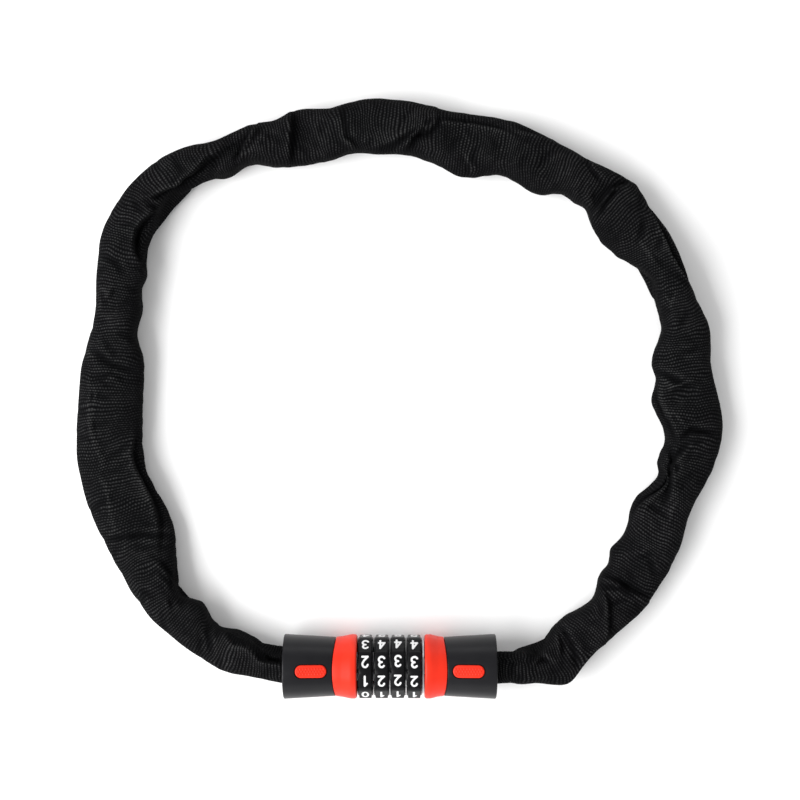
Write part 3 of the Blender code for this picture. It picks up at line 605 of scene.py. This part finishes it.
def stadium(length, width):
    """A bar with round ends, in XY."""
    radius = width / 2
    steps = 16
    points = []
    for centre, start in ((length / 2 - radius, -math.pi / 2), (radius - length / 2, math.pi / 2)):
        for step in range(steps + 1):
            angle = start + math.pi * step / steps
            points.append((centre + radius * math.cos(angle), radius * math.sin(angle)))
    return points


def prism(outline, low, high, edge=0.0):
    """An outline in XY as a block from low to high in Z, its top edge rounded."""
    shape = bmesh.new()
    levels = [(0.0, low)]
    arc_steps = 4 if edge else 0
    for step in range(arc_steps + 1):
        angle = math.pi / 2 * step / max(arc_steps, 1)
        levels.append((edge * (1 - math.cos(angle)), high - edge * (1 - math.sin(angle))))
    rings = []
    centre = Vector((sum(x for x, _ in outline), sum(y for _, y in outline))) / len(outline)
    for inset, height in levels:
        ring = []
        for x, y in outline:
            away = Vector((x, y)) - centre
            away *= max(0.0, 1 - inset / away.length)
            ring.append(shape.verts.new((centre.x + away.x, centre.y + away.y, height)))
        rings.append(ring)
    join_rings(shape, rings)
    shape.faces.new(rings[0][::-1])
    shape.faces.new(rings[-1])
    return shape


def inlay_frame(side):
    """On top of a housing, along its slope: Z out of it, at the housing's surface."""
    sign = SIGNS[side]
    share = (INLAY_U - SHELL_INNER) / (HALF_LENGTH - SHELL_INNER)
    radius = NECK_RADIUS + share * (END_RADIUS - NECK_RADIUS)
    slope = math.atan2(END_RADIUS - NECK_RADIUS, HALF_LENGTH - SHELL_INNER)
    return frame_at(sign * INLAY_U, radius, 0.0) @ Matrix.Rotation(-sign * slope, 4, "Y")


def make_housing(side, material):
    """The black end housing, with a rounded end, an open mouth and the inlay's pocket."""
    start = SHELL_INNER + SEAM / 2
    back = HALF_LENGTH - MOUTH_DEPTH
    liner = COLLAR_FACES[side] + LINER_START
    outline = [
        (BORE_RADIUS, liner),
        (BORE_RADIUS + LINER_WALL, liner),
        (BORE_RADIUS + LINER_WALL, start),
        (NECK_RADIUS, start),
        (END_RADIUS, HALF_LENGTH),
        (MOUTH_RADIUS, HALF_LENGTH),
        (MOUTH_RADIUS, back),
        (BORE_RADIUS, back),
    ]
    radii = (0.0, 0.0, 0.0, 0.25 * MM, 0.55 * MM, 0.6 * MM, 0.0, 0.0)
    obj = finish_mesh(f"shell_{side}", end_shape(side, outline, radii, 5))
    pocket_outline = stadium(INLAY_LENGTH + 2 * INLAY_GROOVE, INLAY_WIDTH + 2 * INLAY_GROOVE)
    pocket = finish_mesh("pocket", prism(pocket_outline, -INLAY_POCKET, CUTTER_TOP))
    pocket.matrix_world = inlay_frame(side)
    cut(obj, pocket)
    return give(obj, material)


def make_inlay(side, material):
    """The red grip inlay: round edges and rows of small raised dots."""
    outline = stadium(INLAY_LENGTH, INLAY_WIDTH)
    low, high = INLAY_BED - INLAY_POCKET, -INLAY_SINK
    obj = finish_mesh(f"grip_inlay_{side}", prism(outline, low, high, INLAY_EDGE))
    at = inlay_frame(side)
    obj.matrix_world = at
    dots = bmesh.new()
    rows = int(INLAY_WIDTH / DOT_ROW_PITCH)
    columns = int(INLAY_LENGTH / DOT_PITCH)
    inside = INLAY_LENGTH / 2 - INLAY_WIDTH / 2
    for row in range(-(rows // 2), rows // 2 + 1):
        for column in range(-columns, columns + 1):
            x = (column + 0.5 * (row % 2)) * DOT_PITCH
            y = row * DOT_ROW_PITCH
            reach = Vector((max(abs(x) - inside, 0.0), y)).length
            if reach > INLAY_WIDTH / 2 - DOT_MARGIN:
                continue
            dot = Matrix.Translation((x, y, high)) @ Matrix.Diagonal(
                (DOT_RADIUS, DOT_RADIUS, DOT_HEIGHT, 1.0)
            )
            bmesh.ops.create_uvsphere(dots, u_segments=12, v_segments=8, radius=1.0, matrix=dot)
    knobs = finish_mesh("knobs", dots)
    knobs.matrix_world = at
    bpy.context.view_layer.update()
    cut(obj, knobs, "UNION")
    return give(obj, material)


def make_collar(side, material):
    """The red collar: a rounded lip at the dials, then a slow taper to the housing."""
    face = COLLAR_FACES[side]
    back = SHELL_INNER - SEAM / 2
    outline = [
        (COLLAR_BORE, face),
        (COLLAR_RADIUS - 0.1 * MM, face),
        (COLLAR_RADIUS, face + COLLAR_LIP),
        (NECK_RADIUS + 0.32 * MM, back - COLLAR_HEM),
        (NECK_RADIUS + 0.02 * MM, back),
        (COLLAR_BORE, back),
    ]
    radii = (0.3 * MM, 0.95 * MM, 6.0 * MM, 9.0 * MM, 0.3 * MM, 0.0)
    shape = end_shape(side, outline, radii, 8)
    return give(finish_mesh(f"red_collar_{side}", shape), material)


def dial_radii(angle):
    """A number ring's radius on its band and on its shoulders, at an angle in degrees."""
    off = abs((angle + ROW_ANGLE / 2) % ROW_ANGLE - ROW_ANGLE / 2)
    band = BAND_RADIUS / math.cos(math.radians(min(off, FLAT_HALF_ANGLE)))
    over = max(off - FLAT_HALF_ANGLE, 0.0) / (ROW_ANGLE / 2 - FLAT_HALF_ANGLE)
    band += CORNER_SWELL * math.sin(over * math.pi / 2)
    gap = (off - ROW_ANGLE / 2) / SCALLOP_ANGLE
    return band, SHOULDER_RADIUS - SCALLOP_DEPTH * math.exp(-gap * gap)


def dial_place(number):
    """The middle of a number ring along the barrel, and half its width."""
    low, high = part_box(f"dial_{number}")
    return (low.x + high.x) / 2 - BARREL.x, (high.x - low.x) / 2


def make_dial(number, material):
    """A number ring: ten flats in a row on its band, and scalloped shoulders beside them."""
    middle, half = dial_place(number)
    edge = BAND_WIDTH / 2
    outlines = []
    for step in range(DIAL_STEPS):
        angle = 360.0 * step / DIAL_STEPS
        band, shoulder = dial_radii(angle - INDEX_ANGLE - DIAL_SLIPS[number])
        # From the bore out: the side face, the shoulder's rounded edge, then the band's
        rim = [
            (DIAL_BORE, half),
            (shoulder - DIAL_EDGE, half),
            (shoulder - 0.1 * MM, half - 0.08 * MM),
            (shoulder, half - 0.3 * MM),
            (shoulder + 0.05 * MM, edge + 0.12 * MM),
            (band - DIAL_EDGE, edge),
            (band - 0.1 * MM, edge - 0.09 * MM),
            (band, edge - DIAL_EDGE),
        ]
        outlines.append([(r, middle - u) for r, u in rim] + [(r, middle + u) for r, u in rim[::-1]])
    shape = turned_shape(outlines)
    return give(finish_mesh(f"number_ring_{number}", shape, 42.0), material)


def arc(cx, cy, rx, ry, start, end, steps=14):
    """Points on an ellipse, in a digit's own box, from one angle to another in degrees."""
    points = []
    for step in range(steps + 1):
        angle = math.radians(start + (end - start) * step / steps)
        points.append((cx + rx * math.cos(angle), cy + ry * math.sin(angle)))
    return points


# Each digit's strokes, in a box that is 1 wide and 1 high.
DIGIT_STROKES = {
    0: [arc(0.5, 0.5, 0.48, 0.5, 90, 450, 28)],
    1: [[(0.56, 0.0), (0.56, 1.0)], [(0.56, 1.0), (0.2, 0.76)]],
    2: [
        arc(0.5, 0.70, 0.46, 0.30, 165, -22) + [(0.80, 0.46), (0.55, 0.27), (0.06, 0.0)],
        [(0.06, 0.0), (1.0, 0.0)],
    ],
    3: [arc(0.47, 0.755, 0.43, 0.245, 150, -90), arc(0.47, 0.26, 0.50, 0.26, 90, -152)],
    4: [[(0.74, 0.0), (0.74, 1.0)], [(0.74, 1.0), (0.0, 0.28)], [(0.0, 0.28), (1.0, 0.28)]],
    5: [
        [(0.92, 1.0), (0.20, 1.0)],
        [(0.20, 1.0), (0.12, 0.54)],
        arc(0.46, 0.31, 0.50, 0.31, 132, -150),
    ],
    6: [arc(0.5, 0.31, 0.47, 0.31, 90, 450, 24), arc(0.86, 0.34, 0.83, 0.68, 178, 103)],
    7: [[(0.02, 1.0), (0.98, 1.0)], [(0.98, 1.0), (0.36, 0.0)]],
    8: [arc(0.5, 0.76, 0.40, 0.24, 90, 450, 22), arc(0.5, 0.26, 0.48, 0.26, 90, 450, 24)],
    9: [arc(0.5, 0.69, 0.47, 0.31, 90, 450, 24), arc(0.14, 0.66, 0.83, 0.68, -2, -77)],
}


def stroke_mesh(shape, points, at, rise):
    """A flat stroke with round ends along points in XY, standing up to the rise."""
    radius = STROKE / 2
    path = [Vector(p) for p in points]
    closed = (path[0] - path[-1]).length < 1e-6
    ends = [] if closed else [math.radians(a) for a in (90, 68, 45, 22)]
    first, last = (path[0] - path[1]).normalized(), (path[-1] - path[-2]).normalized()
    sections = [(path[0] + first * radius * math.sin(a), radius * math.cos(a)) for a in ends]
    sections += [(p, radius) for p in path]
    sections += [
        (path[-1] + last * radius * math.sin(a), radius * math.cos(a)) for a in reversed(ends)
    ]
    if closed:
        sections = sections[:-1]
    count = len(sections)
    rows = []
    for i, (point, half) in enumerate(sections):
        before = sections[i - 1][0] if i or closed else point
        after = sections[(i + 1) % count][0] if i + 1 < count or closed else point
        along = (after - before).normalized()
        side = Vector((-along.y, along.x)) * max(half, 0.01 * MM)
        row = []
        for across, height in ((1.0, -rise), (0.9, rise), (-0.9, rise), (-1.0, -rise)):
            spot = point + side * across
            row.append(shape.verts.new(at @ Vector((spot.x, spot.y, height))))
        rows.append(row)
    if closed:
        join_rings(shape, rows + rows[:1])
    else:
        join_rings(shape, rows)
        shape.faces.new(rows[0][::-1])
        shape.faces.new(rows[-1])


def make_digits(number, material):
    """The white digits of a ring, their tops towards the next row down."""
    middle, _ = dial_place(number)
    shape = bmesh.new()
    width, height = DIGIT_WIDTH - STROKE, DIGIT_HEIGHT - STROKE
    for row in range(DIGIT_COUNT):
        digit = (DIGITS_AT_INDEX[number] - row) % DIGIT_COUNT
        angle = math.radians(INDEX_ANGLE + DIAL_SLIPS[number] + row * ROW_ANGLE)
        at = frame_at(middle, BAND_RADIUS, angle) @ Matrix.Rotation(math.pi, 4, "Z")
        for layer, points in enumerate(DIGIT_STROKES[digit]):
            spots = [((x - 0.5) * width, (y - 0.5) * height) for x, y in points]
            stroke_mesh(shape, spots, at, DIGIT_RISE + STROKE_STAGGER * layer)
    bmesh.ops.recalc_face_normals(shape, faces=shape.faces)
    return give(finish_mesh(f"digits_{number}", shape, 60.0), material)


def make_barrel(materials):
    for side, body in (("left", "lock_body"), ("right", "plug")):
        for maker, node, slot, look in (
            (make_housing, "housing", "black_plastic", "black"),
            (make_inlay, "inlay", "red_plastic", "red"),
            (make_collar, "collar", "red_plastic", "red"),
        ):
            piece = maker(side, materials[look])
            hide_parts(f"{node}_{side}")
            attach(piece, body)
    for number in DIALS:
        ring = make_dial(number, materials["dial"])
        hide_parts(f"dial_{number}")
        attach(ring, f"dial_{number}")
        digits = make_digits(number, materials["paint"])
        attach(digits, f"dial_{number}")


# --- sleeve ---


def between(t, start, leaving, end, arriving):
    """A smooth curve from start to end, t from 0 to 1, with its slopes at both."""
    return (
        (2 * t**3 - 3 * t**2 + 1) * start
        + (t**3 - 2 * t**2 + t) * leaving
        + (3 * t**2 - 2 * t**3) * end
        + (t**3 - t**2) * arriving
    )


def smooth_route():
    """Points along a smooth curve through the route's points, and each one's distance."""
    points = np.array(ROUTE) * MM
    ends = [2 * points[0] - points[1], 2 * points[-1] - points[-2]]
    padded = np.vstack([ends[0], points, ends[1]])
    fine = []
    for i in range(1, len(padded) - 2):
        p0, p1, p2, p3 = padded[i - 1 : i + 3]
        d1, d2, d3 = (np.linalg.norm(b - a) for a, b in ((p0, p1), (p1, p2), (p2, p3)))
        m1 = d2 * ((p1 - p0) / d1 - (p2 - p0) / (d1 + d2) + (p2 - p1) / d2)
        m2 = d2 * ((p2 - p1) / d2 - (p3 - p1) / (d2 + d3) + (p3 - p2) / d3)
        for t in np.linspace(0.0, 1.0, 40, endpoint=False):
            fine.append(between(t, p1, m1, p2, m2))
    fine.append(points[-1])
    fine = np.array(fine)
    steps = np.linalg.norm(np.diff(fine, axis=0), axis=1)
    return fine, np.concatenate([[0.0], np.cumsum(steps)])


def read_route(distances, fine, cumulative):
    return np.array([np.interp(distances, cumulative, fine[:, k]) for k in range(3)]).T


def smooth_profile(points, distances):
    """A smooth curve through given (distance, value) points in mm, read in metres."""
    xs, ys = np.array(points, float).T * MM
    slopes = np.gradient(ys, xs)
    i = np.clip(np.searchsorted(xs, distances) - 1, 0, len(xs) - 2)
    gap = xs[i + 1] - xs[i]
    t = np.clip((distances - xs[i]) / gap, 0.0, 1.0)
    return between(t, ys[i], gap * slopes[i], ys[i + 1], gap * slopes[i + 1])


def fold_line(points, along, across, half_width):
    """Distances from a fold's line, positive on its left, and how strong it is, from 0 to 1."""
    nearest = np.full(along.shape, 1.0)
    signed = np.zeros_like(along)
    position = np.zeros_like(along)
    length = 0.0
    for (s0, c0), (s1, c1) in zip(points, points[1:]):
        px, py = along - s0 * MM, (across - c0) * half_width
        dx, dy = (s1 - s0) * MM, (c1 - c0) * half_width
        size = np.hypot(dx, dy)
        t = np.clip((px * dx + py * dy) / size**2, 0.0, 1.0)
        gap = np.hypot(px - t * dx, py - t * dy)
        closer = gap < nearest
        nearest = np.where(closer, gap, nearest)
        signed = np.where(closer, np.sign(dx * py - dy * px) * gap, signed)
        position = np.where(closer, length + t * size, position)
        length = length + size
    return signed, np.sin(np.pi * np.clip(position / length, 0.02, 0.98)) ** 0.5


def small_creases(length):
    """Short shallow creases scattered along the sleeve, mostly across it."""
    chance = random.Random(SMALL_CREASE_SEED)
    creases = []
    for i in range(SMALL_CREASES):
        s = length / MM * (i + chance.random()) / SMALL_CREASES
        c = chance.uniform(-0.9, 0.9)
        slant, bend = chance.uniform(-3.5, 3.5), chance.uniform(-1.5, 1.5)
        span = chance.uniform(0.2, 0.5)
        points = [(s - slant, c - span), (s + bend, c), (s + slant, c + span)]
        creases.append((points, chance.uniform(0.4, 1.2)))
    return creases


def fold_height(along, across, half_width):
    """How far the cloth lies above or below its even surface, and its wear and painted light.

    It goes from -1, painted shade in a hollow, up to the ridge constant above 1 on a ridge, where
    threads are rubbed paler and carry a painted highlight.
    """
    height = np.zeros_like(along)
    rubbed_and_glinting = np.zeros_like(along)
    painted_shade = np.zeros_like(along)
    for points, drop in FOLDS:
        signed, strength = fold_line(points, along, across, half_width)
        swell = np.where(signed >= 0, 1.8 * FOLD_LIP, 0.5 * FOLD_LIP)
        raised = FOLD_SWELL * np.exp(-((signed / swell) ** 2))
        below = np.maximum(-signed, 0.0)
        fall = smoothstep(below / FOLD_LIP) * np.exp(-below / FOLD_REACH)
        height += drop * MM * strength * (raised - fall)
        # The crest's rubbed threads get a painted highlight, and the hollow below the fold gets
        # painted shade.
        crest = np.exp(-(((signed - CREST_AT) / CREST_WIDTH) ** 2))
        rubbed_and_glinting = np.maximum(rubbed_and_glinting, strength * crest)
        hollow = np.exp(-(((signed - HOLLOW_AT) / HOLLOW_WIDTH) ** 2))
        painted_shade = np.maximum(painted_shade, strength * hollow * min(1.0, drop / DEEP_FOLD))
    for points, depth in CREASES + small_creases(along.max()):
        signed, strength = fold_line(points, along, across, half_width)
        gap = np.abs(signed) / CREASE_WIDTH
        height -= depth * MM * strength * (np.exp(-gap) - 0.5 * np.exp(-((gap / 2.4) ** 2)))
        # Rubbed threads with a painted highlight beside a crease, painted shade in it.
        firm = strength * min(1.0, depth / DEEP_CREASE)
        rubbed_and_glinting = np.maximum(rubbed_and_glinting, 0.6 * firm * np.exp(-(((gap - 1.3) / 0.6) ** 2)))
        painted_shade = np.maximum(painted_shade, firm * np.exp(-(gap**2)))
    for points in RIDGES:
        signed, strength = fold_line(points, along, across, half_width)
        # Rubbed threads with a painted highlight along a ridge.
        crest = strength * np.exp(-((signed / RIDGE_WIDTH) ** 2))
        height += RIDGE_HEIGHT * crest
        rubbed_and_glinting = np.maximum(rubbed_and_glinting, RIDGE_WEAR_AND_GLINT * crest)
    for distance, slant, depth in DENTS:
        gap = along - distance * MM - slant * MM * across / 2
        height -= depth * MM * (
            np.exp(-np.abs(gap) / DENT_WIDTH) - 0.5 * np.exp(-((gap / (2.6 * DENT_WIDTH)) ** 2))
        )
    return height, np.where(painted_shade > rubbed_and_glinting, -painted_shade, rubbed_and_glinting)


def cloth_noise(along, around):
    """Small puckers: short along the sleeve, long round it, strongest on its inner side."""
    out = np.zeros_like(along)
    for i, s in np.ndenumerate(along):
        a = around[i]
        inner = 0.5 - 0.5 * math.cos(a)
        fine = noise.noise(Vector((s / (3.2 * MM), 1.2 * math.cos(a), 1.2 * math.sin(a))))
        broad = noise.noise(Vector((s / (9.0 * MM), 0.9 * math.cos(a) + 7, 0.9 * math.sin(a))))
        out[i] = (0.2 + 0.4 * inner) * MM * fine + 0.8 * MM * broad
    return out


def sleeve_grid(distances, fine, cumulative):
    """The sleeve's surface before its folds, as an array of stations by points round it.

    With it come each point's place across and up its section, from -1 to 1, and the reach there.
    """
    around = 2 * np.pi * np.arange(SLEEVE_SIDES) / SLEEVE_SIDES
    route = read_route(distances, fine, cumulative)
    tangent = read_route(distances + MM, fine, cumulative)
    tangent -= read_route(distances - MM, fine, cumulative)
    tangent /= np.linalg.norm(tangent, axis=1)[:, None]
    side = np.cross((0.0, 0.0, 1.0), tangent)
    side /= np.linalg.norm(side, axis=1)[:, None]
    up = np.cross(tangent, side)
    inner = smooth_profile(INNER_EDGE, distances)
    outer = smooth_profile(OUTER_EDGE, distances)
    wide = smoothstep((inner + outer - WIDE_FROM) / WIDE_OVER)
    lifted = smoothstep((route[:, 2] - LIFT_FROM) / LIFT_OVER)
    top = (SLEEVE_TOP - WIDE_SINK * wide) * (1 - lifted) + (route[:, 2] + ABOVE_CHAIN) * lifted
    bottom = np.maximum(0.0, route[:, 2] - BELOW_CHAIN) * lifted
    power = 2.0 / (SECTION_POWER + (WIDE_POWER - SECTION_POWER) * wide)
    c, s = np.cos(around)[None, :], np.sin(around)[None, :]
    shape_c = np.sign(c) * np.abs(c) ** power[:, None]
    shape_s = np.sign(s) * np.abs(s) ** power[:, None]
    reach = np.where(c > 0, outer[:, None], inner[:, None])
    x = shape_c * reach
    z = ((top + bottom) / 2)[:, None] + shape_s * ((top - bottom) / 2)[:, None] - route[:, 2:3]
    grid = route[:, None, :] + x[..., None] * side[:, None, :] + z[..., None] * up[:, None, :]
    return grid, shape_c, shape_s, reach


def grid_normals(grid):
    """Each point's outward normal."""
    along = np.gradient(grid, axis=0)
    round_it = np.roll(grid, -1, axis=1) - np.roll(grid, 1, axis=1)
    normal = np.cross(round_it, along)
    normal /= np.linalg.norm(normal, axis=2)[..., None]
    return normal


def chain_surface():
    """The chain's links as one surface to measure from."""
    points, faces = [], []
    for name in LINKS:
        node = frame["nodes"][name]
        start = len(points)
        points += [node.matrix_world @ vertex.co for vertex in node.data.vertices]
        faces += [[start + i for i in face.vertices] for face in node.data.polygons]
    return BVHTree.FromPolygons(points, faces)


def bridge(reach):
    """The reach raised to its neighbours' and evened out, as cloth bridges a hollow."""
    widest = reach
    for axis, count in ((0, 3), (1, 2)):
        near = [np.roll(widest, step, axis=axis) for step in range(-count, count + 1)]
        widest = np.max(near, axis=0)
    for axis in (0, 1):
        both = np.roll(widest, 1, axis=axis) + np.roll(widest, -1, axis=axis)
        widest = np.maximum(reach, 0.5 * widest + 0.25 * both)
    return widest


def clear_chain(grid, middles):
    """Moves the sleeve's points out from the chain's middle until they clear the links."""
    chain = chain_surface()
    away = grid - middles[:, None, :]
    length = np.linalg.norm(away, axis=2)
    out = away / length[..., None]
    reach = np.zeros_like(length)
    for i, middle in enumerate(middles):
        for j, direction in enumerate(out[i]):
            start = Vector(middle + direction * RAY_LENGTH)
            place, _, _, distance = chain.ray_cast(start, -Vector(direction), RAY_LENGTH)
            if place is not None:
                reach[i, j] = RAY_LENGTH - distance + CLEARANCE
    length = np.maximum(length, bridge(reach))
    return middles[:, None, :] + out * length[..., None]


def round_marks(grid):
    """Metres round the cloth at each point of the sleeve, counted from its top."""
    gaps = np.linalg.norm(np.roll(grid, -1, axis=1) - grid, axis=2)
    marks = np.hstack([np.zeros((len(grid), 1)), np.cumsum(gaps, axis=1)])
    marks *= SLEEVE_ROUND / marks[:, -1:]
    return marks - marks[:, SLEEVE_SIDES // 4, None]


def make_sleeve(material):
    """The whole woven sleeve as one thin-walled tube, and the chain's length inside it."""
    fine, cumulative = smooth_route()
    length = cumulative[-1]
    stations = int(round((length - 2 * MOUTH_START) / SLEEVE_STEP)) + 1
    distances = np.linspace(MOUTH_START, length - MOUTH_START, stations)
    grid, across, rise, reach = sleeve_grid(distances, fine, cumulative)
    normals = grid_normals(grid)
    along = np.repeat(distances[:, None], SLEEVE_SIDES, axis=1)
    around = np.tile(2 * np.pi * np.arange(SLEEVE_SIDES) / SLEEVE_SIDES, (stations, 1))
    free = smoothstep((np.minimum(along, length - along) - CALM_FROM) / CALM_OVER)
    upper = smoothstep((rise - TOP_FROM) / TOP_OVER)
    # Per point: painted shade in hollows, and rubbed threads with a painted highlight on crests,
    # kept to the sleeve's top and away from the pins.
    push, tone_marks = fold_height(along, across, reach)
    push = push * upper + cloth_noise(along, around)
    tone_marks = tone_marks * upper * free
    grid = grid + normals * (FOLD_DIRECTION * (push * free)[..., None])
    grid = clear_chain(grid, read_route(distances, fine, cumulative))
    grid[..., 2] = np.maximum(grid[..., 2], 0.0)

    shape = bmesh.new()
    # The cloth's colour reads this per-point mark of painted shade, painted highlight and rubbed
    # threads.
    wear_and_shade = shape.verts.layers.float.new("wear_and_shade")
    rings = []
    for ring, marks in zip(grid, tone_marks):
        rings.append([shape.verts.new(point) for point in ring])
        for vertex, mark in zip(rings[-1], marks):
            vertex[wear_and_shade] = mark
    uv = shape.loops.layers.uv.new("weave")
    turned = round_marks(grid)
    for i in range(stations - 1):
        for j in range(SLEEVE_SIDES):
            k = (j + 1) % SLEEVE_SIDES
            corners = (rings[i][j], rings[i + 1][j], rings[i + 1][k], rings[i][k])
            face = shape.faces.new(corners)
            marks = ((j, i), (j, i + 1), (j + 1, i + 1), (j + 1, i))
            for loop, (mark, station) in zip(face.loops, marks):
                bow = rib_bow(distances[station], mark / SLEEVE_SIDES)
                loop[uv].uv = (turned[station, mark], distances[station] + bow)
    bmesh.ops.recalc_face_normals(shape, faces=shape.faces)
    obj = finish_mesh("sleeve_cloth", shape, SLEEVE_SHARP)
    wall = obj.modifiers.new("wall", "SOLIDIFY")
    wall.thickness = SLEEVE_WALL
    wall.offset = -1.0
    apply_modifiers(obj, SLEEVE_SHARP)
    return give(obj, material), length


def rib_bow(distance, turn):
    """How far the ribs stray along the sleeve, where handling has skewed and bowed the cloth."""
    across = math.cos(2 * math.pi * turn)
    rise = math.sin(2 * math.pi * turn)
    skew = noise.noise(Vector((distance / (26 * MM), 3.7, 0.0)))
    bow = noise.noise(Vector((distance / (19 * MM), 8.1, 0.0)))
    local = noise.noise(Vector((distance / (7 * MM), 1.4 * across, 1.4 * rise)))
    return (3.2 * skew * across + 2.6 * bow * (across * across - 0.5) + 1.3 * local) * MM


def fit_sleeve(material):
    sleeve, length = make_sleeve(material)
    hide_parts("sleeve_left", "sleeve_right")
    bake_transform(sleeve)


# --- carried-over pieces, stage, lights, camera ---


def dress_inner_pieces(materials):
    looks = {"die_cast_zinc": "zinc", "hardened_steel": "steel", "spring_steel": "spring"}
    for entry in frame["record"]["subparts"]:
        look = looks.get(entry["material_slot"])
        if look:
            give(frame["nodes"][entry["node"]], materials[look])


def make_floor():
    nodes = Nodes("pale_floor")
    tone = nodes.noise(nodes.coordinates(), 3.0, 2.0)
    paper = nodes.surface({
        "Base Color": nodes.ramp(tone, [(0.3, (0.93,) * 3), (0.7, (0.95,) * 3)]),
        "Roughness": 0.9,
        "Specular IOR Level": 0.1,
    })
    shape = bmesh.new()
    bmesh.ops.create_grid(shape, x_segments=2, y_segments=2, size=6.0)
    floor = give(finish_mesh("floor", shape), paper)
    floor.location.z = -FLOOR_DEPTH


def add_area(name, place, aim, size, power):
    light = bpy.data.lights.new(name, "AREA")
    light.shape = "RECTANGLE"
    light.size, light.size_y = size
    light.energy = power
    obj = add_object(name, light)
    obj.location = place
    obj.rotation_mode = "QUATERNION"
    obj.rotation_quaternion = (Vector(aim) - Vector(place)).to_track_quat("-Z", "Y")


def make_studio():
    world = bpy.data.worlds.new("studio")
    world.use_nodes = True
    background = world.node_tree.nodes["Background"]
    background.inputs["Color"].default_value = (1.0, 1.0, 1.0, 1.0)
    background.inputs["Strength"].default_value = WORLD_STRENGTH
    bpy.context.scene.world = world
    add_area("key", place=(-0.95, -0.3, 0.85), aim=(0.0, 0.0, 0.0), size=(1.3, 1.0), power=30.0)
    for name, y, power in (("strip_back", 1.15, 4.0), ("strip_front", -1.2, 2.5)):
        add_area(name, place=(0.0, y, 0.34), aim=(0.0, -0.1, 0.0), size=(1.6, 0.34), power=power)
    bpy.context.scene.view_settings.view_transform = "Standard"


def make_camera():
    data = bpy.data.cameras.new("camera")
    data.sensor_width = 36.0
    data.lens = CAMERA_LENS
    data.clip_start = 0.05
    camera = add_object("camera", data)
    camera.location = (0.0, 0.0, CAMERA_HEIGHT)
    bpy.context.scene.camera = camera


def build():
    make_camera()
    make_studio()
    make_floor()
    materials = make_materials()
    make_barrel(materials)
    fit_sleeve(materials["woven"])
    dress_inner_pieces(materials)


build()
